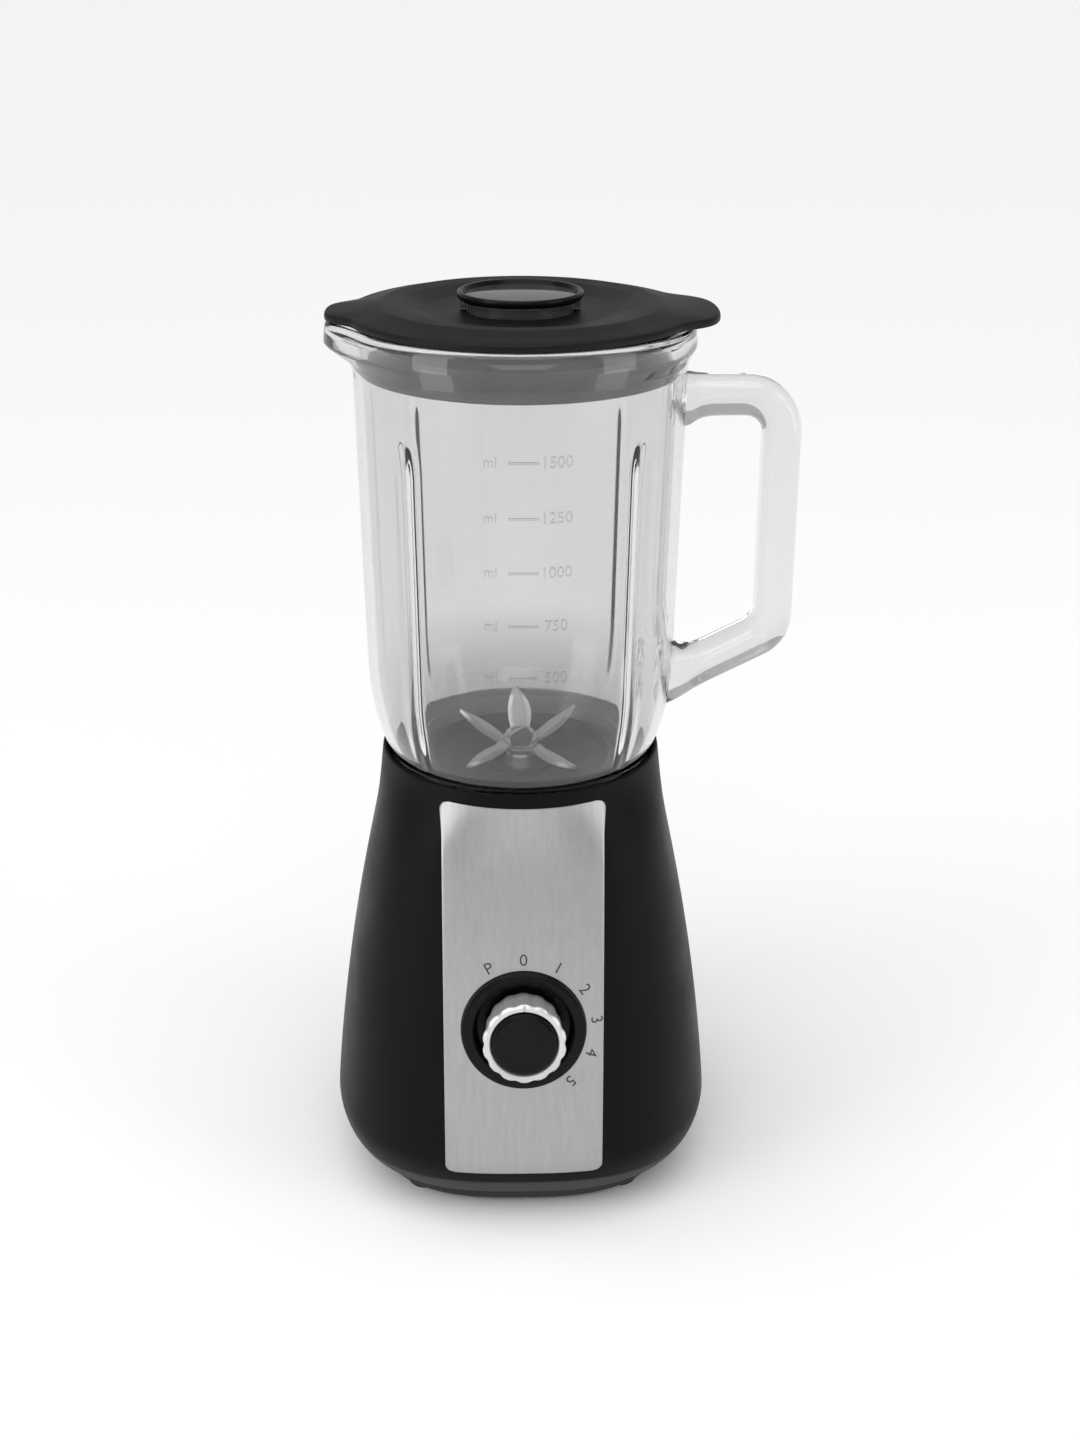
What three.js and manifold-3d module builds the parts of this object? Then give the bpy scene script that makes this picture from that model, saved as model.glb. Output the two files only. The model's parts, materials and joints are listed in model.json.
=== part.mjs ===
// Countertop blender: motor base, glass jar with its blade unit, lid and measuring cup.
// Millimetres, +Z up, -Y is the front with the dial, +X is the handle side.
// The origin is the point where the drive axis meets the table.
import * as THREE from 'three';
import { mergeVertices } from 'three/addons/utils/BufferGeometryUtils.js';
import Module from 'manifold-3d';

// ---- Clearances -------------------------------------------------------------------------
const GAP = 0.3;            // between pieces that touch
const FIT = 0.5;            // between pieces that lift apart
const RUN = 0.35;           // between a turning shaft and what it runs in

// ---- Base housing -----------------------------------------------------------------------
const RIM_Z = 198;          // top of the collar that the jar stands in
const RIM_HALF = 60;        // outside radius of the collar
const COLLAR_HEIGHT = 26;   // collar, from its shoulder to its rim
const SHOULDER_FLARE = 2.4; // how much wider the shoulder is than the rim
const BELLY_HALF = 84.4;    // half the width of the base at its widest
const BELLY_Z = 34;         // height of the widest section
const FOOT_HALF = 68.6;     // half-width where the sides have curved in, near the table
const FOOT_Z = 9;           // height of that section
const SEAM_Z = 22;          // height of the joint with the bottom cover
const SQUARENESS = 2.75;    // exponent of the rounded-square section
const ROUNDING_START = 8;   // the section starts turning round this far under the shoulder
const ROUNDING_END = 2;     // and is round this far under the rim
const FOOT_CURVE = 1.7;     // exponent of the curve from the belly in to the foot
const SIDE_BOW = 0.51;      // how much the side bows between the belly and the shoulder
const WALL = 2.8;           // housing wall
const WELL_DEPTH = 32;      // from the rim down to the deck
const WELL_LAND = 2.6;      // collar wall at the rim
const DECK = 4;             // thickness of the deck over the motor
const DECK_HOLE_R = 9;      // hole in the deck for the motor shaft
const WELL_R = RIM_HALF - WELL_LAND;
const WELL_Z = RIM_Z - WELL_DEPTH;
const DECK_Z = WELL_Z - DECK;
const SHOULDER_Z = RIM_Z - COLLAR_HEIGHT;
const SHOULDER_HALF = RIM_HALF + SHOULDER_FLARE;

// ---- Bottom cover, feet and cover screws ------------------------------------------------
const COVER_Z = 3;          // underside of the cover
const COVER_PLATE = 3;      // thickness of its plate
const COVER_LIP = 4;        // how far its lip reaches up inside the housing
const COVER_WALL = 2.4;
const PAD_R = 14;           // flat round pad in the middle of the underside
const PAD_HEIGHT = 2;
const VENTS = 10;
const VENT_IN = 19;
const VENT_OUT = 36;
const VENT_WIDTH = 3.4;
const FOOT_R = 8;
const FOOT_INSET = 24.6;    // from FOOT_HALF in to a foot's centre
const FOOT_STEM_R = 3;
const COVER_POST_R = 4.5;
const COVER_POST_TOP = 38;
const COVER_SCREW_R = 1.6;
const COVER_SCREW_HEAD_R = 3;
const COVER_SCREW_DEPTH = 14;
const COVER_TOP = COVER_Z + COVER_PLATE;
const COVER_POST_X = FOOT_HALF - 14.6;
const COVER_POST_Y = FOOT_HALF - 38.6;

// ---- Front panel ------------------------------------------------------------------------
const PANEL_WIDTH = 68.8;
const PANEL_BOTTOM_Z = 28;
const PANEL_TOP_MARGIN = 5.6; // from the panel's top edge to the rim
const PANEL_CORNER = 4;
const PANEL_SHEET = 1.2;
const PANEL_PROUD = 0.4;    // how far the sheet stands out of the housing

// ---- Dial: bezel, switch and knob -------------------------------------------------------
const DIAL_Z = 96.6;        // height of the dial's centre
const BEZEL_WIDTH = 5.8;    // from the recess out to the bezel's edge
const BEZEL_PROUD = 1.6;
const BEZEL_FLANGE = 4.4;   // depth of its flange, seated in the panel
const BEZEL_CUP_WALL = 1.9; // wall of the cup behind the flange
const RECESS_SPACE = 3.1;   // between the knob and the side of the recess it stands in
const RECESS_DEPTH = 6;
const RECESS_FLOOR = 2.4;
const DIAL_BOSS_WALL = 3.5; // thick pad inside the housing, outside the bezel
const DIAL_BOSS_DEPTH = 8;
const KNOB_R = 17.6;        // grip ring over its lobes
const KNOB_GRIP = 3.8;      // thickness of the grip ring
const KNOB_LOBES = 14;
const KNOB_LOBE_DEPTH = 1;
const KNOB_HEIGHT = 16;     // front of the knob above the panel
const KNOB_FOOT = 3;        // how far the knob reaches down into the recess
const SWITCH_HALF = 17;     // half the width of the rotary switch
const SWITCH_DEPTH = 14;
const SWITCH_NECK_R = 5;
const SWITCH_NECK = 6;      // threaded neck, above the switch's face
const SPINDLE_R = 3;
const SWITCH_NUT_ACROSS = 13;
const KNOB_CAP_R = KNOB_R - KNOB_GRIP;
const RECESS_R = KNOB_R + RECESS_SPACE;
const BEZEL_R = RECESS_R + BEZEL_WIDTH;
const BEZEL_CUP_R = RECESS_R + BEZEL_CUP_WALL;
const DIAL_BOSS_R = BEZEL_R + DIAL_BOSS_WALL;

// ---- Cord gland -------------------------------------------------------------------------
const GLAND_Z = 38;
const GLAND_R = 5.6;
const GLAND_BORE_R = 3.8;
const GLAND_FLANGE_R = 8.4;
const GLAND_FLANGE = 2.6;

// ---- Motor ------------------------------------------------------------------------------
const SHAFT_R = 4;
const MOUNT_POST = 6;       // posts under the deck that carry the motor
const MOUNT_POST_R = 5;
const DAMPER = 6;           // rubber dampers between the posts and the upper bracket
const DAMPER_R = 6;
const BRACKET = 4;
const BRACKET_HALF = 35;
const MOUNT_OFFSET = 27.5;  // motor screws, from the axis along X and Y
const MOTOR_SCREW_R = 1.9;
const MOTOR_SCREW_HEAD_R = 3.8;
const BEARING_R = 8;
const BEARING_HEIGHT = 6;
const COIL_END = 10;        // field coil above and below the stack
const COIL_IN = 26.5;
const COIL_OUT = 33.5;
const COIL_SPAN = 66;       // degrees each side of the coil's middle
const POLE_SPAN = 50;
const STACK_HALF = 38;      // half the width of the stator's laminations
const STACK_CORNER = 14;
const AIR_GAP = 1.2;
const ARMATURE_R = 22;
const SLOTS = 12;
const COMMUTATOR_R = 12;
const COMMUTATOR_HEIGHT = 12;
const BRUSH_HALF = 5;
const BRUSH_LENGTH = 18;
const FAN_R = 33;
const FAN_HEIGHT = 14;
const FAN_BLADES = 9;
const TIE_BOLT_R = 2;
const TIE_BOLT_OFFSET = 27.5;
const SHAFT_END = 14;       // from the bottom cover up to the shaft's lower end

// ---- Coupling between base and jar ------------------------------------------------------
const STAR_R = 13;          // drive star over its teeth
const STAR_ROOT_R = 9.5;
const STAR_TEETH = 6;
const STAR_HEIGHT = 6.5;
const SOCKET_R = 17.5;      // driven socket, outside
const SOCKET_PLATE = 3.5;

// ---- Glass jar --------------------------------------------------------------------------
const JAR_HEIGHT = 216.6;   // from the deck to the jar's rim
const JAR_TOP_R = 68.3;     // outside radius under the rim bead
const JAR_TAPER = 3.65;     // how much narrower the body is at the collar, before its heel
const JAR_WALL = 3.9;
const HEEL_HEIGHT = 44;     // the heel curves in over this height
const HEEL_POWER = 2.4;
const BEAD_R = 71.8;        // bead round the rim
const BEAD_HEIGHT = 13;
const NECK_WALL = 6.7;
const NECK_LAND = 7.1;      // from the well's wall in to the neck
const SPOUT_REACH = 8.2;    // how far the spout pushes out of the bead
const SPOUT_SPREAD = 17;    // degrees
const RIB_DEPTH = 6;        // ribs inside the jar
const RIB_WIDTH = 5;
const RIB_TOP_DROP = 38;    // from the jar's rim down to the top of the ribs
const RIB_COUNT = 4;
const HANDLE_WIDTH = 20;
const HANDLE_BAR = 16.2;
const HANDLE_REACH = 116;   // from the axis to the outside of the grip
const HANDLE_TOP_DROP = 23.4; // from the jar's rim down to the top of the handle
const HANDLE_FOOT_DROP = 164.8; // to the lowest point of the handle, at the jar's wall
const LOWER_BAR_ANGLE = 27; // degrees that the lower bar rises by
const HANDLE_SHOULDER = 24; // outer rounding at the top of the grip
const HANDLE_ELBOW = 15;    // outer rounding at its foot
const FINGER_ROUND = 8;     // rounding in the corners of the finger gap
const HANDLE_ROUND = 5;     // rounding along the handle's edges

// ---- Blade unit -------------------------------------------------------------------------
const NUT_HEIGHT = 26;
const NUT_WALL = 5.8;
const NUT_LIP = 3.2;
const SEAT_FLANGE = 3;
const GASKET = 2;
const SEAT_WALL = 3.4;
const SEAT_RISE = 27.5;     // blade seat's rim above the deck
const DISH_RISE = 21;       // its dish above the deck
const BOSS_R = 6.9;         // bearing of the blade shaft
const BOSS_DOME_R = 6.4;
const BOSS_RISE = 28;       // top of the bearing above the deck
const BLADE_SHEET = 1.5;
const BLADE_WIDTH = 10;
const BLADE_ROOT = 8;       // flat part round the shaft
const BLADE_LIFT = 0.6;     // lowest blade above the bearing
const BLADE_CLEAR = 13.1;   // from the side of the blade seat in to the longest blade's tip
const BLADE_NUT_ACROSS = 11;
const BLADE_NUT_HEIGHT = 2.4;

// ---- Lid and measuring cup --------------------------------------------------------------
const LID_SEAT = 0.4;       // between the jar's rim and the lid
const LID_OVERHANG = 1.9;   // lid's edge outside JAR_TOP_R
const LID_EDGE = 4;
const LID_CROWN = 6.4;      // highest ring of the lid above its underside
const LID_DISH = 3.2;       // the dish in its middle above its underside
const SPOUT_EAR_REACH = 8.6;
const SPOUT_EAR_SPREAD = 13.5; // degrees, of the ear over the spout
const GRIP_EAR_REACH = 10.2;
const GRIP_EAR_SPREAD = 22; // degrees, of the ear on the handle side
const EAR_POWER = 4;        // how square the ears' ends are
const SKIRT_DROP = 19;
const SKIRT_WALL = 2.8;
const SEAL_THICK = 3.6;
const SEAL_DROP = 20.5;
const CUP_R = 21.8;
const CUP_WALL = 2;
const CUP_DEPTH = 24;       // from the lid's dish down to the cup's mouth
const CUP_FLANGE_R = 25.4;
const CUP_FLANGE = 3.5;
const CUP_STAND = 4.3;      // from the lid's dish up to the cup's flange
const CUP_RECESS = 1.6;

// ---- Colours ----------------------------------------------------------------------------
const finishes = {
  blackPlastic: { color: 0x141414, roughness: 0.5, metalness: 0 },
  blackGloss: { color: 0x0b0b0b, roughness: 0.2, metalness: 0 },
  darkPlastic: { color: 0x2b2b2c, roughness: 0.6, metalness: 0 },
  rubber: { color: 0x222222, roughness: 0.85, metalness: 0 },
  greyRubber: { color: 0x6c6e70, roughness: 0.7, metalness: 0 },
  brushedSteel: { color: 0x9a9b9c, roughness: 0.35, metalness: 1 },
  chrome: { color: 0xc8c9ca, roughness: 0.12, metalness: 1 },
  steel: { color: 0xb0b2b4, roughness: 0.25, metalness: 1 },
  glass: { color: 0xdfe7e8, roughness: 0.05, metalness: 0, transparent: true, opacity: 0.35 },
  smoke: { color: 0x3a3c3e, roughness: 0.08, metalness: 0, transparent: true, opacity: 0.6 },
  laminations: { color: 0x6b6d70, roughness: 0.55, metalness: 0.7 },
  copper: { color: 0xb06a38, roughness: 0.4, metalness: 0.9 },
  whiteNylon: { color: 0xd8d6cf, roughness: 0.5, metalness: 0 },
};

// Segments round a turned piece, by its size.
const ROUND = 32;
const MEDIUM = 20;
const SMALL = 12;
const TINY = 8;
const ACROSS = 10;          // cutting tools run past what they cut by this much

const wasm = await Module();
wasm.setup();
const blender = new THREE.Group();

// ---- Geometry helpers -------------------------------------------------------------------

function bare(geometry) {
  const plain = geometry.clone();
  plain.deleteAttribute('normal');
  plain.deleteAttribute('uv');
  return mergeVertices(plain, 1e-4);
}

function toSolid(geometry) {
  const merged = bare(geometry);
  const corners = merged.index.array;
  const kept = [];
  for (let i = 0; i < corners.length; i += 3) {
    const [a, b, c] = [corners[i], corners[i + 1], corners[i + 2]];
    if (a !== b && b !== c && c !== a) kept.push(a, b, c);
  }
  return new wasm.Manifold(new wasm.Mesh({
    numProp: 3,
    vertProperties: new Float32Array(merged.attributes.position.array),
    triVerts: new Uint32Array(kept),
  }));
}

function toGeometry(body) {
  const mesh = body.getMesh();
  const geometry = new THREE.BufferGeometry();
  const positions = new Float32Array(mesh.vertProperties);
  geometry.setAttribute('position', new THREE.BufferAttribute(positions, 3));
  geometry.setIndex(new THREE.BufferAttribute(new Uint32Array(mesh.triVerts), 1));
  return geometry;
}

function join(...pieces) {
  return toGeometry(pieces.map(toSolid).reduce((whole, piece) => whole.add(piece)));
}

function cut(body, ...tools) {
  return toGeometry(tools.map(toSolid).reduce((rest, tool) => rest.subtract(tool), toSolid(body)));
}

function common(a, b) {
  return toGeometry(toSolid(a).intersect(toSolid(b)));
}

// Turns an outline of [radius, height] points about the Z axis. The outline runs out along
// the bottom, up the outside and back in, and may close on itself.
function turned(outline, segments) {
  const points = outline.map(([r, z]) => new THREE.Vector2(r, z));
  return new THREE.LatheGeometry(points, segments).rotateX(Math.PI / 2);
}

function ring(inner, outer, z0, z1, segments) {
  return turned([[inner, z0], [outer, z0], [outer, z1], [inner, z1], [inner, z0]], segments);
}

function rod(radius, z0, z1, segments) {
  return turned([[0, z0], [radius, z0], [radius, z1], [0, z1]], segments);
}

function block(x0, x1, y0, y1, z0, z1) {
  const box = new THREE.BoxGeometry(x1 - x0, y1 - y0, z1 - z0);
  return box.translate((x0 + x1) / 2, (y0 + y1) / 2, (z0 + z1) / 2);
}

function extruded(shape, z0, z1, curveSegments = 4) {
  const options = { depth: z1 - z0, bevelEnabled: false, curveSegments };
  return new THREE.ExtrudeGeometry(shape, options).translate(0, 0, z0);
}

function moved(geometry, move) {
  const position = geometry.attributes.position;
  const point = new THREE.Vector3();
  for (let i = 0; i < position.count; i += 1) {
    move(point.fromBufferAttribute(position, i));
    position.setXYZ(i, point.x, point.y, point.z);
  }
  return geometry;
}

function roundedRectangle(halfX, halfY, corner) {
  const shape = new THREE.Shape();
  shape.absarc(halfX - corner, halfY - corner, corner, 0, Math.PI / 2);
  shape.absarc(corner - halfX, halfY - corner, corner, Math.PI / 2, Math.PI);
  shape.absarc(corner - halfX, corner - halfY, corner, Math.PI, Math.PI * 1.5);
  shape.absarc(halfX - corner, corner - halfY, corner, Math.PI * 1.5, Math.PI * 2);
  return shape;
}

function sector(inner, outer, from, to) {
  const shape = new THREE.Shape();
  shape.absarc(0, 0, outer, THREE.MathUtils.degToRad(from), THREE.MathUtils.degToRad(to));
  shape.absarc(0, 0, inner, THREE.MathUtils.degToRad(to), THREE.MathUtils.degToRad(from), true);
  return shape;
}

function polygon(count, radiusAt, offset = 0) {
  const points = [];
  for (let i = 0; i < count; i += 1) {
    const angle = offset + i / count * Math.PI * 2;
    points.push(new THREE.Vector2(radiusAt(i) * Math.cos(angle), radiusAt(i) * Math.sin(angle)));
  }
  return new THREE.Shape(points);
}

function add(name, geometry, finish, parent = blender) {
  const mesh = new THREE.Mesh(geometry, new THREE.MeshStandardMaterial(finishes[finish]));
  mesh.name = name;
  parent.add(mesh);
  return mesh;
}

// ---- The base's rounded-square form -----------------------------------------------------

const between = THREE.MathUtils.lerp;

// Half-width of the base at a height, on the middle of a side.
function halfAt(z) {
  if (z < BELLY_Z) {
    const down = Math.min(1, (BELLY_Z - z) / (BELLY_Z - FOOT_Z));
    return FOOT_HALF + (BELLY_HALF - FOOT_HALF) * (1 - down ** FOOT_CURVE) ** (1 / FOOT_CURVE);
  }
  if (z < SHOULDER_Z) {
    const up = (z - BELLY_Z) / (SHOULDER_Z - BELLY_Z);
    return BELLY_HALF - (BELLY_HALF - SHOULDER_HALF) * between(up, up * up, SIDE_BOW);
  }
  return THREE.MathUtils.mapLinear(z, SHOULDER_Z, RIM_Z, SHOULDER_HALF, RIM_HALF);
}

// The section turns from a rounded square into a circle through the collar.
function squared(geometry) {
  return moved(geometry, (point) => {
    const [from, to] = [SHOULDER_Z - ROUNDING_START, RIM_Z - ROUNDING_END];
    const toRound = THREE.MathUtils.smoothstep(point.z, from, to);
    const power = between(SQUARENESS, 2, toRound);
    const radius = Math.hypot(point.x, point.y);
    if (radius < 1e-6) return;
    const [x, y] = [Math.abs(point.x / radius), Math.abs(point.y / radius)];
    const spread = (x ** power + y ** power) ** (1 / power);
    point.x /= spread;
    point.y /= spread;
  });
}

const baseHeights = [
  FOOT_Z, between(FOOT_Z, BELLY_Z, 0.15), between(FOOT_Z, BELLY_Z, 0.45), SEAM_Z, BELLY_Z,
  between(BELLY_Z, SHOULDER_Z, 0.25), between(BELLY_Z, SHOULDER_Z, 0.5),
  between(BELLY_Z, SHOULDER_Z, 0.75),
  SHOULDER_Z, between(SHOULDER_Z, RIM_Z, 0.5), RIM_Z - WELL_LAND, RIM_Z,
].sort((a, b) => a - b);

// A solid of the base's form, grown or shrunk all round.
function baseForm(grow, z0, z1) {
  const heights = [z0, ...baseHeights.filter((z) => z > z0 && z < z1), z1];
  const outline = heights.map((z) => [halfAt(z) + grow, z]);
  return squared(turned([[0, z0], ...outline, [0, z1]], ROUND));
}

// ---- Dial frame: local +Z points out of the panel at the dial's centre ------------------

const dialSlope = Math.atan((halfAt(DIAL_Z - 10) - halfAt(DIAL_Z + 10)) / 20);
const dial = new THREE.Group();
dial.position.set(0, -halfAt(DIAL_Z) - PANEL_PROUD, DIAL_Z);
dial.rotation.x = Math.PI / 2 - dialSlope;
dial.updateMatrix();
blender.add(dial);

function atDial(geometry) {
  return geometry.applyMatrix4(dial.matrix);
}

// ---- Housing ----------------------------------------------------------------------------

function panelPrism(spare) {
  const top = RIM_Z - PANEL_TOP_MARGIN + spare;
  const bottom = PANEL_BOTTOM_Z - spare;
  const shape = roundedRectangle(PANEL_WIDTH / 2 + spare, (top - bottom) / 2, PANEL_CORNER + spare);
  const prism = extruded(shape, 0, BELLY_HALF * 2).rotateX(Math.PI / 2);
  return prism.translate(0, 0, (top + bottom) / 2);
}

function eachCorner(x, y, use) {
  [[-1, -1], [1, -1], [1, 1], [-1, 1]].forEach(([sx, sy], i) => use(sx * x, sy * y, i + 1, sx));
}

function baseHousing() {
  const outside = baseForm(0, SEAM_Z, RIM_Z);
  const inside = baseForm(-WALL, SEAM_Z - 1, DECK_Z);
  const well = turned([
    [0, WELL_Z], [WELL_R, WELL_Z], [WELL_R, RIM_Z - WELL_LAND],
    [WELL_R + WELL_LAND / 2, RIM_Z], [WELL_R + WELL_LAND / 2, RIM_Z + ACROSS], [0, RIM_Z + ACROSS],
  ], ROUND);
  const shell = cut(outside, inside, well, rod(DECK_HOLE_R, DECK_Z - ACROSS, WELL_Z + ACROSS, MEDIUM));
  const additions = [];
  const holes = [];
  eachCorner(COVER_POST_X, COVER_POST_Y, (x, y, i, side) => {
    const postFoot = COVER_TOP + GAP;
    additions.push(rod(COVER_POST_R, postFoot, COVER_POST_TOP, SMALL).translate(x, y, 0));
    const reach = [0, side * BELLY_HALF].sort((a, b) => a - b);
    const rib = block(...reach, -1.5, 1.5, SEAM_Z + COVER_LIP + 1, COVER_POST_TOP);
    additions.push(common(rib.translate(x, y, 0), baseForm(-WALL / 2, SEAM_Z, DECK_Z)));
    const hole = rod(COVER_SCREW_R + GAP, postFoot - 1, postFoot + COVER_SCREW_DEPTH, TINY);
    holes.push(hole.translate(x, y, 0));
  });
  eachCorner(MOUNT_OFFSET, MOUNT_OFFSET, (x, y) => {
    additions.push(rod(MOUNT_POST_R, DECK_Z - MOUNT_POST, DECK_Z + 1, SMALL).translate(x, y, 0));
    const hole = rod(MOTOR_SCREW_R + GAP, DECK_Z - MOUNT_POST - 1, DECK_Z + 1, TINY);
    holes.push(hole.translate(x, y, 0));
  });
  const boss = atDial(rod(DIAL_BOSS_R, -DIAL_BOSS_DEPTH, ACROSS, MEDIUM));
  additions.push(common(boss, outside));
  const gland = rod(GLAND_R + GAP, 0, ACROSS * 2, SMALL).rotateX(-Math.PI / 2);
  holes.push(gland.translate(0, BELLY_HALF - ACROSS, GLAND_Z));
  holes.push(atDial(rod(BEZEL_CUP_R + GAP, -DIAL_BOSS_DEPTH - ACROSS, ACROSS, ROUND)));
  holes.push(atDial(rod(BEZEL_R + GAP, -BEZEL_FLANGE - GAP, ACROSS, ROUND)));
  const pocket = cut(panelPrism(GAP), baseForm(PANEL_PROUD - PANEL_SHEET - GAP, SEAM_Z, RIM_Z));
  return cut(join(shell, ...additions), pocket, ...holes);
}

function frontPanel() {
  const sheet = cut(
    baseForm(PANEL_PROUD, SEAM_Z, RIM_Z),
    baseForm(PANEL_PROUD - PANEL_SHEET, SEAM_Z - 1, RIM_Z + 1),
  );
  const hole = atDial(rod(BEZEL_R + GAP, -ACROSS, ACROSS, ROUND));
  return cut(common(sheet, panelPrism(0)), hole);
}

// ---- Bottom cover, feet, screws ---------------------------------------------------------

function bottomCover() {
  const lipHalf = halfAt(SEAM_Z) - WALL - GAP;
  const sides = [...baseHeights.filter((z) => z < SEAM_Z - GAP), SEAM_Z - GAP];
  const outline = [
    [0, COVER_Z], [FOOT_HALF - 1.5, COVER_Z], [FOOT_HALF, COVER_Z + 1.5],
    ...sides.map((z) => [halfAt(z), z]), [lipHalf, SEAM_Z - GAP], [lipHalf, SEAM_Z + COVER_LIP],
    [lipHalf - COVER_WALL, SEAM_Z + COVER_LIP], [lipHalf - COVER_WALL, SEAM_Z - GAP],
    ...sides.reverse().slice(1).map((z) => [halfAt(z) - WALL, z]),
    [FOOT_HALF - WALL, COVER_TOP], [0, COVER_TOP],
  ];
  const tray = squared(turned(outline, ROUND));
  const pad = rod(PAD_R, COVER_Z - PAD_HEIGHT, COVER_Z + 1, MEDIUM);
  const holes = [];
  for (let i = 0; i < VENTS; i += 1) {
    const slot = block(VENT_IN, VENT_OUT, -VENT_WIDTH / 2, VENT_WIDTH / 2, 0, COVER_TOP + 1);
    holes.push(slot.rotateZ((i + 0.5) / VENTS * Math.PI * 2));
  }
  const footAt = FOOT_HALF - FOOT_INSET;
  eachCorner(footAt, footAt + 4, (x, y) => {
    holes.push(rod(FOOT_STEM_R + GAP, 0, COVER_TOP + 1, TINY).translate(x, y, 0));
  });
  eachCorner(COVER_POST_X, COVER_POST_Y, (x, y) => {
    holes.push(rod(COVER_SCREW_R + GAP, 0, COVER_TOP + 1, TINY).translate(x, y, 0));
    const sink = rod(COVER_SCREW_HEAD_R + GAP, 0, COVER_Z + COVER_PLATE / 2 + GAP, TINY);
    holes.push(sink.translate(x, y, 0));
  });
  return cut(join(tray, pad), ...holes);
}

function foot() {
  const stemTop = COVER_TOP + 2;
  return turned([
    [0, 0], [FOOT_R - 1, 0], [FOOT_R, 1], [FOOT_R, COVER_Z - GAP],
    [FOOT_STEM_R, COVER_Z - GAP], [FOOT_STEM_R, stemTop], [0, stemTop],
  ], SMALL);
}

// A screw pointing up, with its head under z and a slot across the head.
function screw(shankR, headR, z, length) {
  const head = headR * 0.5;
  const body = turned([
    [0, z - head], [headR, z - head], [headR, z], [shankR, z], [shankR, z + length], [0, z + length],
  ], TINY);
  return cut(body, block(-headR, headR, -0.5, 0.5, z - head - 1, z - head * 0.5));
}

// ---- Dial pieces, in the dial's own frame -----------------------------------------------

function knobBezel() {
  const back = -RECESS_DEPTH - RECESS_FLOOR;
  return turned([
    [SWITCH_NECK_R + GAP, back], [BEZEL_CUP_R, back], [BEZEL_CUP_R, -BEZEL_FLANGE],
    [BEZEL_R, -BEZEL_FLANGE], [BEZEL_R, BEZEL_PROUD - 0.8], [BEZEL_R - 0.8, BEZEL_PROUD],
    [RECESS_R + 2.4, BEZEL_PROUD], [RECESS_R, BEZEL_PROUD - 2], [RECESS_R, -RECESS_DEPTH],
    [SWITCH_NECK_R + GAP, -RECESS_DEPTH], [SWITCH_NECK_R + GAP, back],
  ], MEDIUM);
}

const SWITCH_FACE = -RECESS_DEPTH - RECESS_FLOOR - GAP;

function rotarySwitch() {
  const body = block(
    -SWITCH_HALF, SWITCH_HALF, -SWITCH_HALF, SWITCH_HALF, SWITCH_FACE - SWITCH_DEPTH, SWITCH_FACE,
  );
  const neck = rod(SWITCH_NECK_R, SWITCH_FACE - 1, SWITCH_FACE + SWITCH_NECK, MEDIUM);
  const bore = rod(SPINDLE_R + RUN, SWITCH_FACE - SWITCH_DEPTH / 2, ACROSS, SMALL);
  return cut(join(body, neck), bore);
}

function hexNut(bore, across, z0, z1) {
  const shape = polygon(6, () => across / Math.sqrt(3));
  shape.holes.push(polygon(SMALL, () => bore));
  return extruded(shape, z0, z1);
}

function knobRing() {
  const points = KNOB_LOBES * 4;
  const shape = polygon(points, (i) => KNOB_R - KNOB_LOBE_DEPTH * (i % 4 === 0 ? 1 : 0.15));
  shape.holes.push(polygon(MEDIUM, () => KNOB_CAP_R + GAP));
  const grip = extruded(shape, -KNOB_FOOT, KNOB_HEIGHT - 1.2);
  const notch = block(-1, 1, KNOB_CAP_R, KNOB_R + 1, KNOB_HEIGHT - 3, KNOB_HEIGHT);
  return cut(grip, notch);
}

const SPINDLE_TOP = KNOB_HEIGHT - 6;

function knobCap() {
  const face = KNOB_HEIGHT;
  const under = face - 4;
  const socketR = SPINDLE_R + GAP;
  return turned([
    [0, SPINDLE_TOP + GAP], [socketR, SPINDLE_TOP + GAP], [socketR, 0], [SPINDLE_R + 3, 0],
    [SPINDLE_R + 3, under], [KNOB_CAP_R - 2, under], [KNOB_CAP_R - 2, -KNOB_FOOT + 1],
    [KNOB_CAP_R, -KNOB_FOOT + 1], [KNOB_CAP_R, face - 1.2], [KNOB_CAP_R - 1.2, face], [0, face],
  ], MEDIUM);
}

// ---- Motor ------------------------------------------------------------------------------

const UPPER_BRACKET_Z = DECK_Z - MOUNT_POST - DAMPER - 2 * GAP - BRACKET;
const STACK_TOP = UPPER_BRACKET_Z - COIL_END - 5;
const SHAFT_FOOT = COVER_TOP + SHAFT_END;
const FAN_Z = SHAFT_FOOT + 3;
const LOWER_BRACKET_Z = FAN_Z + FAN_HEIGHT + 4;
const COMMUTATOR_Z = LOWER_BRACKET_Z + BRACKET + 3;
const STACK_BOTTOM = COMMUTATOR_Z + COMMUTATOR_HEIGHT + 8;
const SHAFT_TOP = WELL_Z + 5.5;

function statorStack() {
  const shape = roundedRectangle(STACK_HALF, STACK_HALF, STACK_CORNER);
  shape.holes.push(polygon(MEDIUM, () => ARMATURE_R + AIR_GAP));
  const stack = extruded(shape, STACK_BOTTOM, STACK_TOP);
  const slots = [];
  [90, 270].forEach((middle) => {
    [[-COIL_SPAN, -POLE_SPAN], [POLE_SPAN, COIL_SPAN]].forEach(([from, to]) => {
      const slot = sector(COIL_IN - GAP, COIL_OUT + GAP, middle + from - 1, middle + to + 1);
      slots.push(extruded(slot, STACK_BOTTOM - 1, STACK_TOP + 1));
    });
  });
  [-1, 1].forEach((side) => {
    const hole = rod(TIE_BOLT_R + GAP, STACK_BOTTOM - 1, STACK_TOP + 1, TINY);
    slots.push(hole.translate(side * TIE_BOLT_OFFSET, side * TIE_BOLT_OFFSET, 0));
  });
  return cut(stack, ...slots);
}

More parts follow.
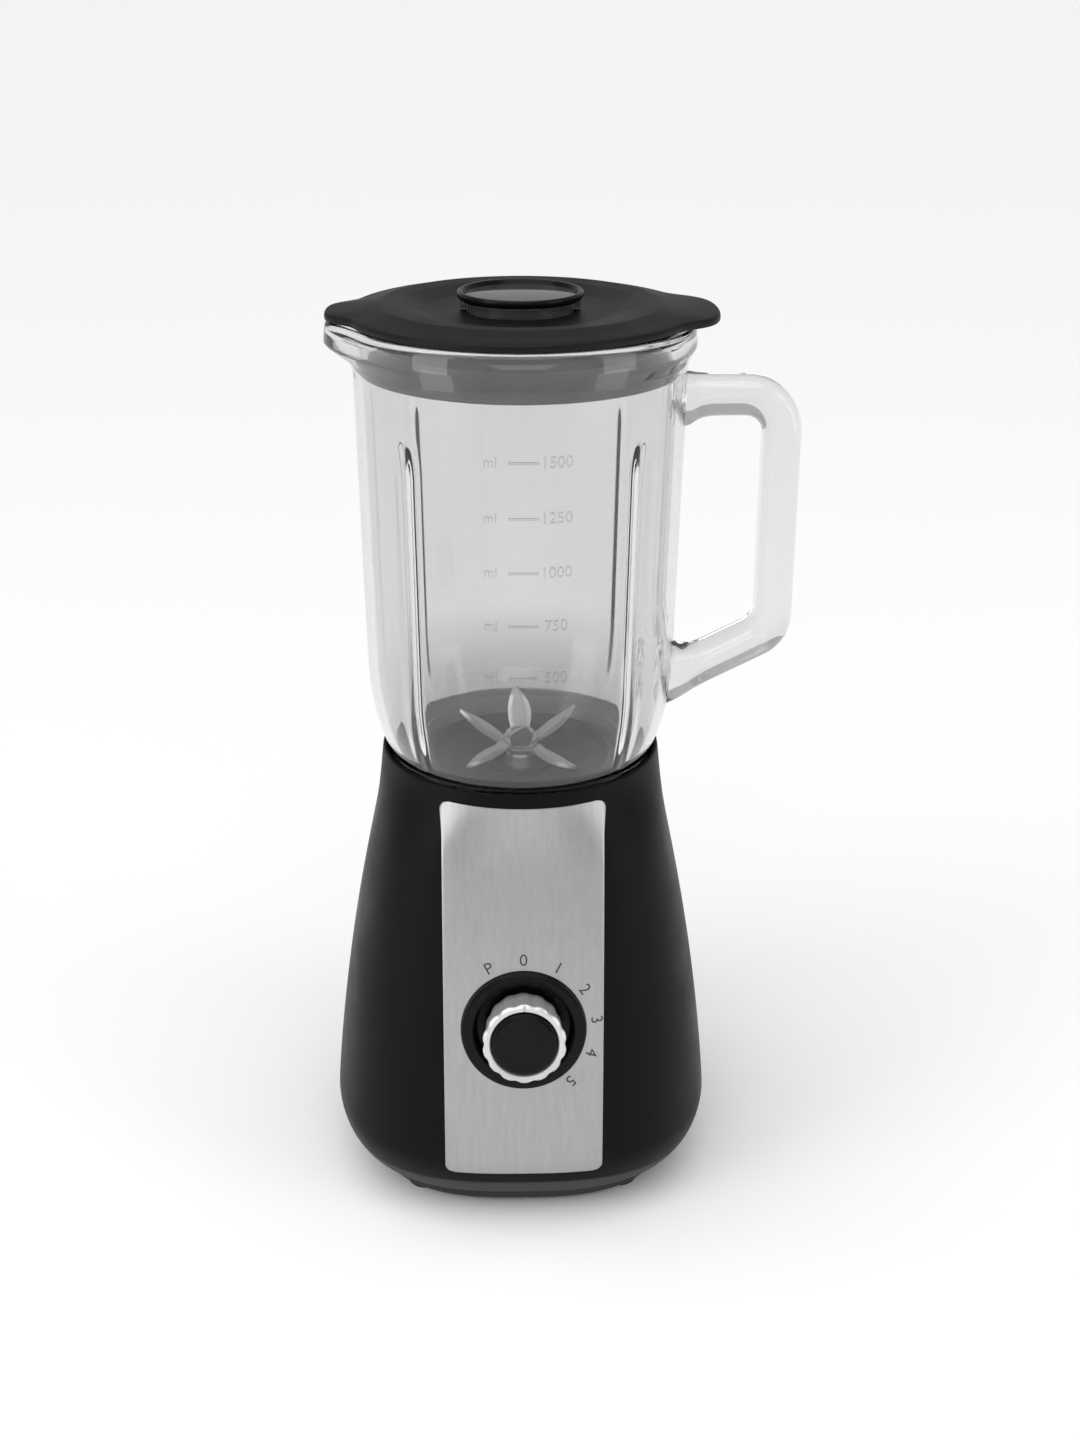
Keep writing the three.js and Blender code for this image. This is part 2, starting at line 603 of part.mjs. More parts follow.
function fieldCoil(middle) {
  const loop = sector(COIL_IN, COIL_OUT, middle - COIL_SPAN, middle + COIL_SPAN);
  const pole = sector(COIL_IN - 2, COIL_OUT + 2, middle - POLE_SPAN, middle + POLE_SPAN);
  return cut(
    extruded(loop, STACK_BOTTOM - COIL_END, STACK_TOP + COIL_END, 8),
    extruded(pole, STACK_BOTTOM - GAP, STACK_TOP + GAP, 8),
  );
}

function motorBracket(z, screwHoles) {
  const shape = roundedRectangle(BRACKET_HALF, BRACKET_HALF, BRACKET_HALF - MOUNT_OFFSET);
  shape.holes.push(polygon(SMALL, () => BEARING_R + GAP));
  const holes = screwHoles.map(([x, y, radius]) => (
    rod(radius, z - 1, z + BRACKET + 1, TINY).translate(x, y, 0)
  ));
  return cut(extruded(shape, z, z + BRACKET, 2), ...holes);
}

function tieBolt() {
  const nutHeight = 3;
  const z0 = LOWER_BRACKET_Z - GAP;
  return turned([
    [0, z0 - nutHeight], [TIE_BOLT_R + 1.8, z0 - nutHeight], [TIE_BOLT_R + 1.8, z0],
    [TIE_BOLT_R, z0], [TIE_BOLT_R, STACK_TOP + 4], [0, STACK_TOP + 4],
  ], TINY);
}

function brushHolder(side) {
  const x0 = COMMUTATOR_R + 1;
  const z0 = LOWER_BRACKET_Z + BRACKET + GAP;
  const z1 = COMMUTATOR_Z + COMMUTATOR_HEIGHT - 1;
  const body = block(x0, x0 + BRUSH_LENGTH, -BRUSH_HALF, BRUSH_HALF, z0, z1);
  const cap = block(x0 + BRUSH_LENGTH, x0 + BRUSH_LENGTH + 2, -2.5, 2.5, z0 + 4, z0 + 9);
  return join(body, cap).rotateZ(side > 0 ? 0 : Math.PI);
}

function armature() {
  const tooth = (i) => (i % 4 < 2 ? ARMATURE_R : ARMATURE_R - 5);
  const shape = polygon(SLOTS * 4, tooth);
  shape.holes.push(polygon(SMALL, () => SHAFT_R + GAP));
  const core = extruded(shape, STACK_BOTTOM, STACK_TOP);
  const turnsTop = ring(SHAFT_R + GAP, ARMATURE_R - 6, STACK_TOP - 1, STACK_TOP + 6, SMALL);
  const turnsFoot = ring(SHAFT_R + GAP, ARMATURE_R - 6, STACK_BOTTOM - 5, STACK_BOTTOM + 1, SMALL);
  return join(core, turnsTop, turnsFoot);
}

function coolingFan() {
  const plate = ring(SHAFT_R + GAP, FAN_R, FAN_Z + FAN_HEIGHT - 2, FAN_Z + FAN_HEIGHT, MEDIUM);
  const hub = ring(SHAFT_R + GAP, SHAFT_R + 4, FAN_Z, FAN_Z + FAN_HEIGHT - 1, SMALL);
  const blades = [];
  for (let i = 0; i < FAN_BLADES; i += 1) {
    const blade = block(SHAFT_R + 3, FAN_R - 1, -0.8, 0.8, FAN_Z, FAN_Z + FAN_HEIGHT - 1);
    blades.push(blade.rotateZ(i / FAN_BLADES * Math.PI * 2));
  }
  return join(plate, hub, ...blades);
}

// ---- Coupling ---------------------------------------------------------------------------

const STAR_Z = WELL_Z + 1.2;

function star(grow) {
  return polygon(STAR_TEETH * 4, (i) => (i % 4 < 2 ? STAR_R : STAR_ROOT_R) + grow);
}

function driveCoupling() {
  const shape = star(0);
  shape.holes.push(polygon(SMALL, () => SHAFT_R + GAP));
  return extruded(shape, STAR_Z, STAR_Z + STAR_HEIGHT);
}

const SOCKET_Z = WELL_Z + 2;
const SOCKET_TOP = SOCKET_Z + STAR_HEIGHT + SOCKET_PLATE;

function drivenCoupling() {
  const cup = ring(SHAFT_R + GAP, SOCKET_R, SOCKET_Z, SOCKET_TOP, MEDIUM);
  return cut(cup, extruded(star(FIT), SOCKET_Z - 1, SOCKET_TOP - SOCKET_PLATE));
}

// ---- Glass jar --------------------------------------------------------------------------

const JAR_RIM_Z = WELL_Z + JAR_HEIGHT;
const BEAD_Z = JAR_RIM_Z - BEAD_HEIGHT;
const NECK_R = WELL_R - NECK_LAND;
const NECK_BORE_R = NECK_R - NECK_WALL;
const HEEL_Z = RIM_Z - 1.7;
const SHOULDER_SEAT_Z = WELL_Z + GAP + NUT_HEIGHT + 0.4;
const SEAT_Z = WELL_Z + GAP + NUT_LIP + GAP;
const GASKET_Z = SEAT_Z + SEAT_FLANGE + GAP;
const GLASS_FOOT_Z = GASKET_Z + GASKET + GAP;

// Outside radius of the jar's body at a height above its heel.
function jarAt(z) {
  const low = JAR_TOP_R - JAR_TAPER;
  const straight = THREE.MathUtils.mapLinear(z, HEEL_Z, BEAD_Z, low, JAR_TOP_R);
  const tuck = low - (WELL_R - 0.8);
  const down = Math.max(0, (HEEL_Z + HEEL_HEIGHT - z) / HEEL_HEIGHT);
  return straight - tuck * down ** HEEL_POWER;
}

function jarHeights(z0) {
  const heel = [0, 0.12, 0.3, 0.55, 1].map((part) => z0 + part * HEEL_HEIGHT);
  return [...heel, BEAD_Z - 3];
}

// The spout pushes the rim bead out on the side away from the handle.
function spouted(geometry) {
  return moved(geometry, (point) => {
    const lift = THREE.MathUtils.smoothstep(point.z, BEAD_Z - 6, BEAD_Z + 5);
    const aside = THREE.MathUtils.radToDeg(Math.atan2(point.y, -point.x)) / SPOUT_SPREAD;
    const radius = Math.hypot(point.x, point.y);
    if (radius < NECK_R) return;
    const reach = 1 + SPOUT_REACH * lift * Math.exp(-aside * aside) / radius;
    point.x *= reach;
    point.y *= reach;
  });
}

function jarOutside() {
  const outline = [[0, GLASS_FOOT_Z], [NECK_R, GLASS_FOOT_Z], [NECK_R, SHOULDER_SEAT_Z]];
  outline.push([WELL_R - 3, SHOULDER_SEAT_Z + 1]);
  jarHeights(HEEL_Z).forEach((z) => outline.push([jarAt(z), z]));
  outline.push(
    [JAR_TOP_R + 0.8, BEAD_Z], [BEAD_R, BEAD_Z + 3.4], [BEAD_R, JAR_RIM_Z - 3],
    [BEAD_R - 1.2, JAR_RIM_Z - 0.5], [BEAD_R - 3, JAR_RIM_Z], [0, JAR_RIM_Z],
  );
  return spouted(turned(outline, ROUND));
}

function jarInside() {
  const floorZ = WELL_Z + SEAT_RISE - 1;
  const outline = [[0, GLASS_FOOT_Z - 1], [NECK_BORE_R, GLASS_FOOT_Z - 1], [NECK_BORE_R, floorZ - 2]];
  outline.push([NECK_BORE_R + 2, floorZ], [WELL_R - 8, HEEL_Z]);
  jarHeights(HEEL_Z + 4).forEach((z) => outline.push([jarAt(z) - JAR_WALL, z]));
  const mouthR = JAR_TOP_R - JAR_WALL + 2;
  outline.push([mouthR, BEAD_Z + 8], [mouthR + 0.6, JAR_RIM_Z + 1], [0, JAR_RIM_Z + 1]);
  return spouted(turned(outline, ROUND));
}

// The handle in outline, seen from the front, with the finger gap as its hole. The outline
// starts inside the jar's hollow, which is cut out afterwards.
function handleOutline() {
  const root = JAR_TOP_R - JAR_WALL;
  const inside = root - 4 * HANDLE_ROUND;
  const top = JAR_RIM_Z - HANDLE_TOP_DROP;
  const slope = Math.tan(THREE.MathUtils.degToRad(LOWER_BAR_ANGLE));
  const underside = (x) => JAR_RIM_Z - HANDLE_FOOT_DROP + (x - root) * slope;
  const upside = (x) => underside(x) + HANDLE_BAR / Math.cos(Math.atan(slope));
  const grip = HANDLE_REACH - HANDLE_BAR;
  const gapTop = top - HANDLE_BAR;
  const outline = new THREE.Shape();
  outline.moveTo(inside, top);
  outline.lineTo(HANDLE_REACH - HANDLE_SHOULDER, top);
  outline.absarc(
    HANDLE_REACH - HANDLE_SHOULDER, top - HANDLE_SHOULDER, HANDLE_SHOULDER, Math.PI / 2, 0, true,
  );
  outline.lineTo(HANDLE_REACH, underside(HANDLE_REACH) + HANDLE_ELBOW);
  outline.quadraticCurveTo(
    HANDLE_REACH, underside(HANDLE_REACH),
    HANDLE_REACH - HANDLE_ELBOW, underside(HANDLE_REACH - HANDLE_ELBOW),
  );
  outline.lineTo(inside, underside(inside));
  const gap = new THREE.Path();
  const wall = root + 3;
  gap.moveTo(wall, gapTop - FINGER_ROUND);
  gap.lineTo(wall, upside(wall) + FINGER_ROUND);
  gap.quadraticCurveTo(wall, upside(wall), wall + FINGER_ROUND, upside(wall + FINGER_ROUND));
  gap.lineTo(grip - FINGER_ROUND, upside(grip - FINGER_ROUND));
  gap.quadraticCurveTo(grip, upside(grip), grip, upside(grip) + FINGER_ROUND);
  gap.lineTo(grip, gapTop - FINGER_ROUND);
  gap.quadraticCurveTo(grip, gapTop, grip - FINGER_ROUND, gapTop);
  gap.lineTo(wall + FINGER_ROUND, gapTop);
  gap.quadraticCurveTo(wall, gapTop, wall, gapTop - FINGER_ROUND);
  outline.holes.push(gap);
  return outline;
}

function handle() {
  const depth = HANDLE_WIDTH - 2 * HANDLE_ROUND;
  const options = {
    depth, curveSegments: 4, bevelSegments: 2,
    bevelThickness: HANDLE_ROUND, bevelSize: HANDLE_ROUND, bevelOffset: -HANDLE_ROUND,
  };
  const body = new THREE.ExtrudeGeometry(handleOutline(), options);
  return body.rotateX(Math.PI / 2).translate(0, depth / 2, 0);
}

function jarRib(azimuth) {
  const top = JAR_RIM_Z - RIB_TOP_DROP;
  const foot = HEEL_Z + 2;
  const crest = (z) => jarAt(z) - JAR_WALL - RIB_DEPTH;
  const edge = (z) => jarAt(z) - JAR_WALL / 2;
  const shape = new THREE.Shape([
    [edge(foot), foot], [edge(foot + 20), foot + 20], [edge(top), top],
    [crest(top) + RIB_DEPTH, top], [crest(top - 16), top - 16], [crest(foot + 40), foot + 40],
    [crest(foot + 18), foot + 18], [crest(foot + 4), foot + 4], [crest(foot) + 2, foot],
  ].map(([r, z]) => new THREE.Vector2(r, z)));
  const rib = extruded(shape, -RIB_WIDTH / 2, RIB_WIDTH / 2).rotateX(Math.PI / 2);
  return rib.rotateZ(azimuth);
}

function glassJar() {
  const shell = cut(join(jarOutside(), handle()), jarInside());
  const ribs = [];
  for (let i = 0; i < RIB_COUNT; i += 1) {
    ribs.push(jarRib((i + 0.5) / RIB_COUNT * Math.PI * 2));
  }
  return join(shell, ...ribs);
}

// ---- Blade unit -------------------------------------------------------------------------

function jarBaseNut() {
  const outer = WELL_R - 1;
  const inner = NECK_R + FIT;
  const z0 = WELL_Z + GAP;
  return turned([
    [inner - NUT_WALL, z0], [outer - 1, z0], [outer, z0 + 1], [outer, z0 + NUT_HEIGHT],
    [inner, z0 + NUT_HEIGHT], [inner, z0 + NUT_LIP], [inner - NUT_WALL, z0 + NUT_LIP],
    [inner - NUT_WALL, z0],
  ], ROUND);
}

function bladeSeat() {
  const plugR = NECK_BORE_R - FIT;
  const top = WELL_Z + SEAT_RISE;
  const dish = WELL_Z + DISH_RISE;
  const ceiling = dish - SEAT_WALL;
  const inner = plugR - SEAT_WALL;
  const bore = BOSS_R + GAP;
  return turned([
    [bore, SOCKET_TOP + FIT], [bore + 3.6, SOCKET_TOP + FIT], [bore + 3.6, ceiling], [inner, ceiling],
    [inner, SEAT_Z], [NECK_R, SEAT_Z], [NECK_R, SEAT_Z + SEAT_FLANGE], [plugR, SEAT_Z + SEAT_FLANGE],
    [plugR, top - 1.6], [plugR - 1.4, top], [plugR - 3.4, top], [plugR - 6, dish + 2],
    [bore + 7, dish], [bore, dish], [bore, SOCKET_TOP + FIT],
  ], ROUND);
}

function bladeBearing() {
  const bore = SHAFT_R + RUN;
  const dish = WELL_Z + DISH_RISE;
  const top = WELL_Z + BOSS_RISE;
  return turned([
    [bore, SOCKET_TOP + FIT + GAP], [BOSS_R, SOCKET_TOP + FIT + GAP], [BOSS_R, dish + GAP],
    [BOSS_DOME_R, dish + 2], [BOSS_DOME_R, top - 3], [BOSS_DOME_R - 1, top - 0.8],
    [bore + 0.8, top], [bore, top], [bore, SOCKET_TOP + FIT + GAP],
  ], SMALL);
}

// One wing of a blade plate, cut from sheet and bent up or down at the edge of its root.
function wing({ azimuth, run, rise }, z) {
  const reach = run - BLADE_ROOT;
  const slope = Math.atan2(rise, reach);
  const length = BLADE_ROOT + Math.hypot(rise, reach);
  const sheet = new THREE.BoxGeometry(length, BLADE_WIDTH, BLADE_SHEET, 7, 2, 1);
  sheet.translate(length / 2, 0, BLADE_SHEET / 2);
  moved(sheet, (point) => {
    const out = point.x - BLADE_ROOT;
    const along = Math.max(0, out) / (length - BLADE_ROOT);
    const taper = out < 0 ? 0.72 : 0.72 + 0.28 * Math.sin(Math.PI * along) - 0.64 * along ** 3;
    point.y = point.y * taper + along ** 3 * BLADE_WIDTH * 0.22;
    if (out <= 0) return;
    const thick = point.z;
    point.x = BLADE_ROOT + out * Math.cos(slope) - thick * Math.sin(slope);
    point.z = out * Math.sin(slope) + thick * Math.cos(slope);
  });
  return sheet.rotateZ(THREE.MathUtils.degToRad(azimuth)).translate(0, 0, z);
}

function bladePlate(level, wings) {
  const z = WELL_Z + BOSS_RISE + BLADE_LIFT + level * (BLADE_SHEET + GAP);
  const hub = rod(BLADE_ROOT - 0.5, z, z + BLADE_SHEET, SMALL);
  const plate = join(hub, ...wings.map((shape) => wing(shape, z)));
  return cut(plate, rod(SHAFT_R + GAP, z - ACROSS, z + ACROSS * 3, SMALL));
}

const BLADE_REACH = NECK_BORE_R - FIT - BLADE_CLEAR;
const BLADE_TOP = WELL_Z + BOSS_RISE + BLADE_LIFT + 3 * (BLADE_SHEET + GAP);

// ---- Lid and cup ------------------------------------------------------------------------

const LID_Z = JAR_RIM_Z + LID_SEAT;
const LID_DISH_Z = LID_Z + LID_DISH;
const LID_R = JAR_TOP_R + LID_OVERHANG;
const SEAL_R = JAR_TOP_R - JAR_WALL - FIT;
const SKIRT_R = SEAL_R - SEAL_THICK - GAP;

// Ears over the spout and on the handle side.
function eared(geometry) {
  return moved(geometry, (point) => {
    const radius = Math.hypot(point.x, point.y);
    if (radius < BEAD_R - 6) return;
    const edge = THREE.MathUtils.smoothstep(radius, BEAD_R - 6, LID_R - 1);
    const overSpout = point.x < 0;
    const ear = overSpout ? SPOUT_EAR_REACH : GRIP_EAR_REACH;
    const spread = overSpout ? SPOUT_EAR_SPREAD : GRIP_EAR_SPREAD;
    const aside = THREE.MathUtils.radToDeg(Math.atan2(point.y, Math.abs(point.x))) / spread;
    const reach = 1 + ear * edge * Math.exp(-(Math.abs(aside) ** EAR_POWER)) / radius;
    point.x *= reach;
    point.y *= reach;
  });
}

function lid() {
  const hole = CUP_R + FIT;
  const crown = LID_Z + LID_CROWN;
  return eared(turned([
    [hole, LID_Z - 9], [hole + 2.4, LID_Z - 9], [hole + 2.4, LID_Z], [SKIRT_R - SKIRT_WALL, LID_Z],
    [SKIRT_R - SKIRT_WALL, LID_Z - SKIRT_DROP], [SKIRT_R, LID_Z - SKIRT_DROP], [SKIRT_R, LID_Z],
    [LID_R, LID_Z], [LID_R, LID_Z + LID_EDGE - 0.8], [LID_R - 1.6, LID_Z + LID_EDGE],
    [LID_R - 14, crown], [LID_R - 20, crown - 0.3], [LID_R * 0.5, LID_DISH_Z], [hole, LID_DISH_Z],
    [hole, LID_Z - 9],
  ], ROUND));
}

function lidSeal() {
  const inner = SKIRT_R + GAP;
  const foot = LID_Z - SEAL_DROP;
  return turned([
    [inner, foot], [SEAL_R - 1, foot], [SEAL_R, foot + 1], [SEAL_R, LID_Z - GAP],
    [inner, LID_Z - GAP], [inner, foot],
  ], ROUND);
}

function measuringCup() {
  const flange = LID_DISH_Z + CUP_STAND;
  const top = flange + CUP_FLANGE;
  const mouth = LID_DISH_Z - CUP_DEPTH;
  const floor = top - CUP_RECESS;
  const inner = CUP_R - CUP_WALL;
  const cup = turned([
    [0, floor - CUP_WALL], [inner, floor - CUP_WALL], [inner, mouth], [CUP_R, mouth],
    [CUP_R, flange], [CUP_FLANGE_R - 0.8, flange], [CUP_FLANGE_R, flange + 1.2],
    [CUP_FLANGE_R, flange + 2.2], [CUP_FLANGE_R - 1, top], [CUP_FLANGE_R - 2.6, top],
    [CUP_FLANGE_R - 3.4, floor], [0, floor],
  ], MEDIUM);
  const lug = (side) => block(side - 1.4, side + 1.4, -2, 2, LID_DISH_Z + GAP, flange + 1);
  return join(cup, lug(CUP_R + 1), lug(-CUP_R - 1));
}

// ---- Assembly ---------------------------------------------------------------------------

add('base_housing', baseHousing(), 'blackPlastic');
add('front_panel', frontPanel(), 'brushedSteel');
add('bottom_cover', bottomCover(), 'darkPlastic');
eachCorner(FOOT_HALF - FOOT_INSET, FOOT_HALF - FOOT_INSET + 4, (x, y, i) => {
  add(`foot_${i}`, foot(), 'rubber').position.set(x, y, 0);
});
eachCorner(COVER_POST_X, COVER_POST_Y, (x, y, i) => {
  const headZ = COVER_Z + COVER_PLATE / 2;
  const body = screw(COVER_SCREW_R, COVER_SCREW_HEAD_R, headZ, COVER_SCREW_DEPTH);
  add(`cover_screw_${i}`, body, 'steel').position.set(x, y, 0);
});

const gland = turned([
  [GLAND_BORE_R, 0], [GLAND_R, 0], [GLAND_R, ACROSS + GAP], [GLAND_FLANGE_R, ACROSS + GAP],
  [GLAND_FLANGE_R, ACROSS + GLAND_FLANGE - 0.8], [GLAND_FLANGE_R - 0.8, ACROSS + GLAND_FLANGE],
  [GLAND_BORE_R, ACROSS + GLAND_FLANGE], [GLAND_BORE_R, 0],
], SMALL).rotateX(-Math.PI / 2);
add('cord_gland', gland, 'rubber').position.set(0, BELLY_HALF - ACROSS, GLAND_Z);

add('knob_bezel', knobBezel(), 'blackGloss', dial);
add('switch_body', rotarySwitch(), 'darkPlastic', dial);
const nutFoot = -RECESS_DEPTH + GAP;
add('switch_nut', hexNut(SWITCH_NECK_R + GAP, SWITCH_NUT_ACROSS, nutFoot, nutFoot + 2), 'steel', dial);
const spindleFoot = SWITCH_FACE - SWITCH_DEPTH / 2 + 1;
add('switch_spindle', rod(SPINDLE_R, spindleFoot, SPINDLE_TOP, SMALL), 'steel', dial);
add('knob_ring', knobRing(), 'chrome', dial);
add('knob_cap', knobCap(), 'blackGloss', dial);

add('stator_stack', statorStack(), 'laminations');
add('field_coil_front', fieldCoil(270), 'copper');
add('field_coil_rear', fieldCoil(90), 'copper');
const screwHoles = [];
eachCorner(MOUNT_OFFSET, MOUNT_OFFSET, (x, y) => screwHoles.push([x, y, MOTOR_SCREW_R + GAP]));
const boltHoles = [-TIE_BOLT_OFFSET, TIE_BOLT_OFFSET].map((at) => [at, at, TIE_BOLT_R + GAP]);
add('upper_bracket', motorBracket(UPPER_BRACKET_Z, screwHoles), 'laminations');
add('lower_bracket', motorBracket(LOWER_BRACKET_Z, boltHoles), 'laminations');
const bearing = (z) => ring(SHAFT_R + GAP, BEARING_R, z - 1, z - 1 + BEARING_HEIGHT, SMALL);
add('upper_bearing', bearing(UPPER_BRACKET_Z), 'steel');
add('lower_bearing', bearing(LOWER_BRACKET_Z), 'steel');
add('brush_holder_left', brushHolder(-1), 'darkPlastic');
add('brush_holder_right', brushHolder(1), 'darkPlastic');
eachCorner(MOUNT_OFFSET, MOUNT_OFFSET, (x, y, i) => {
  const damperZ = UPPER_BRACKET_Z + BRACKET + GAP;
  const damper = ring(MOTOR_SCREW_R + GAP, DAMPER_R, damperZ, damperZ + DAMPER, TINY);
  add(`motor_damper_${i}`, damper, 'rubber').position.set(x, y, 0);
  const length = BRACKET + DAMPER + MOUNT_POST;
  const fastener = screw(MOTOR_SCREW_R, MOTOR_SCREW_HEAD_R, UPPER_BRACKET_Z - GAP, length);
  add(`motor_screw_${i}`, fastener, 'steel').position.set(x, y, 0);
});

[-1, 1].forEach((side) => {
  const name = side < 0 ? 'tie_bolt_front' : 'tie_bolt_rear';
  add(name, tieBolt(), 'steel').position.set(side * TIE_BOLT_OFFSET, side * TIE_BOLT_OFFSET, 0);
});

add('motor_shaft', rod(SHAFT_R, SHAFT_FOOT, SHAFT_TOP, SMALL), 'steel');
add('armature', armature(), 'laminations');
const commutatorTop = COMMUTATOR_Z + COMMUTATOR_HEIGHT;
add('commutator', ring(SHAFT_R + GAP, COMMUTATOR_R, COMMUTATOR_Z, commutatorTop, SMALL), 'copper');
add('cooling_fan', coolingFan(), 'whiteNylon');
add('drive_coupling', driveCoupling(), 'rubber');

add('glass_jar', glassJar(), 'glass');
add('jar_base_nut', jarBaseNut(), 'blackPlastic');
add('blade_seat', bladeSeat(), 'darkPlastic');
add('jar_gasket', ring(NECK_BORE_R, NECK_R - GAP, GASKET_Z, GASKET_Z + GASKET, ROUND), 'greyRubber');
add('blade_bearing', bladeBearing(), 'steel');

add('blade_shaft', rod(SHAFT_R, SHAFT_TOP + FIT, BLADE_TOP + 2, SMALL), 'steel');
add('driven_coupling', drivenCoupling(), 'rubber');
add('blade_low', bladePlate(0, [
  { azimuth: 150, run: BLADE_REACH, rise: 11 }, { azimuth: 330, run: BLADE_REACH - 3, rise: -6 },
]), 'steel');
add('blade_middle', bladePlate(1, [
  { azimuth: 30, run: BLADE_REACH, rise: 10 }, { azimuth: 210, run: BLADE_REACH - 2, rise: -5 },
]), 'steel');
add('blade_high', bladePlate(2, [
  { azimuth: 90, run: 16, rise: 19 }, { azimuth: 270, run: 15, rise: 12 },
]), 'steel');
const bladeNut = hexNut(SHAFT_R + GAP, BLADE_NUT_ACROSS, BLADE_TOP, BLADE_TOP + BLADE_NUT_HEIGHT);
add('blade_nut', bladeNut, 'steel');

add('lid', lid(), 'blackPlastic');
add('lid_seal', lidSeal(), 'greyRubber');
add('measuring_cup', measuringCup(), 'smoke');

export default blender;
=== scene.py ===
# Countertop blender: the visible pieces, their finishes, the floor, the lights and the camera.
# Profiles and sizes are written in millimetres and turned into metres when a mesh is made.
import json
import math

import bmesh
import bpy
from mathutils import Matrix, Vector


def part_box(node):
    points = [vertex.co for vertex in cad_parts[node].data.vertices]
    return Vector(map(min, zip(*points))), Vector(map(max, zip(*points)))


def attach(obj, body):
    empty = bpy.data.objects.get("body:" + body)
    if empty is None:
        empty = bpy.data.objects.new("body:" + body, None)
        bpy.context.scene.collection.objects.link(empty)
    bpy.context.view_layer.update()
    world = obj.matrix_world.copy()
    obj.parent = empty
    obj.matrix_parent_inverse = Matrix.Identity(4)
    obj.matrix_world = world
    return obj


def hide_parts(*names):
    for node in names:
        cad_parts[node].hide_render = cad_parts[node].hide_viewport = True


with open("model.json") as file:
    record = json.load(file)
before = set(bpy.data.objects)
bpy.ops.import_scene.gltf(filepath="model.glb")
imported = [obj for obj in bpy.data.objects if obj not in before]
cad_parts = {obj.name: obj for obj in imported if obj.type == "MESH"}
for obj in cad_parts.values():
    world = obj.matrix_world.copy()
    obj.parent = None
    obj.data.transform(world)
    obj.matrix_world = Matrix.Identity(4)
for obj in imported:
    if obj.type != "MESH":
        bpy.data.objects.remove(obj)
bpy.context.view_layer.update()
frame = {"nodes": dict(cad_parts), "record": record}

MM = 0.001
FINE, ROUND, SMALL = 160, 96, 48     # steps round a turned piece, by its size


def node_box(node):
    """Lowest and highest corner of a CAD node, in millimetres."""
    low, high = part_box(node)
    return [value / MM for value in low], [value / MM for value in high]


# ---- Sizes, from the frame where a node's box gives them -----------------------------------
_, housing_high = node_box("base_housing")
_, jar_high = node_box("glass_jar")
_, lid_high = node_box("lid")
cup_low, cup_high = node_box("measuring_cup")
seal_low, seal_high = node_box("lid_seal")
seat_low, seat_high = node_box("blade_seat")
nut_low, nut_high = node_box("jar_base_nut")
bearing_low, bearing_high = node_box("blade_bearing")
cover_low, _ = node_box("bottom_cover")
gland_low, gland_high = node_box("cord_gland")
panel_low, panel_high = node_box("front_panel")

GAP = 0.3
RIM_Z = housing_high[2]
RIM_HALF = 60.0
WELL_R = 57.4
SHOULDER_Z = RIM_Z - 26
SHOULDER_HALF = RIM_HALF + 2.4
BELLY_HALF = housing_high[0]
BELLY_Z = 34.0
FOOT_Z = 9.0
FOOT_HALF = 68.6
FOOT_CURVE = 1.7          # exponent of the curve from the belly in to the foot
SIDE_BOW = 0.51           # how much the side bows between the belly and the shoulder
SEAM_Z = 22.0
SQUARENESS = 2.75
WALL = 2.8
WELL_Z = nut_low[2] - GAP
DECK_Z = WELL_Z - 4

JAR_RIM_Z = jar_high[2]
JAR_TOP_R = 68.3
JAR_TAPER = 3.65
JAR_WALL = 3.9
BEAD_R = 71.8
BEAD_Z = JAR_RIM_Z - 13
HEEL_Z = RIM_Z - 1.7
HEEL_HEIGHT = 44.0
HEEL_CURVE = 2.4
NECK_R = seat_high[0]
NECK_BORE_R = NECK_R - 6.7

LID_Z = JAR_RIM_Z + 0.4
LID_R = JAR_TOP_R + 1.9
LID_DISH_Z = LID_Z + 3.2

DIAL_Z = 96.6


# ---- Meshes --------------------------------------------------------------------------------
def rounded(points, closed=True, steps=5):
    """An outline whose points may carry a fillet radius as a third number."""
    outline = []
    for i, point in enumerate(points):
        here = Vector(point[:2])
        fillet = point[2] if len(point) > 2 else 0
        if not fillet or (not closed and i in (0, len(points) - 1)):
            outline.append(here)
            continue
        before = Vector(points[i - 1][:2]) - here
        after = Vector(points[(i + 1) % len(points)][:2]) - here
        half = before.angle(after) / 2
        reach = min(fillet / math.tan(half), 0.49 * before.length, 0.49 * after.length)
        radius = reach * math.tan(half)
        bisector = (before.normalized() + after.normalized()).normalized()
        centre = here + bisector * (radius / math.sin(half))
        start = here + before.normalized() * reach - centre
        end = here + after.normalized() * reach - centre
        outline.extend(centre + start.slerp(end, k / steps).normalized() * radius for k in range(steps + 1))
    return [tuple(point) for point in outline]


def turned(outline, steps=ROUND, closed=True):
    """A bmesh turned about the Z axis from (radius, height) points in millimetres."""
    bm = bmesh.new()
    verts = [bm.verts.new((r * MM, 0, z * MM)) for r, z in outline]
    edges = [bm.edges.new(pair) for pair in zip(verts, verts[1:])]
    if closed:
        edges.append(bm.edges.new((verts[-1], verts[0])))
    bmesh.ops.spin(
        bm, geom=verts + edges, cent=(0, 0, 0), axis=(0, 0, 1), angle=math.tau,
        steps=steps, use_merge=True, use_duplicate=False,
    )
    bmesh.ops.remove_doubles(bm, verts=bm.verts, dist=1e-6)
    bmesh.ops.recalc_face_normals(bm, faces=bm.faces)
    return bm


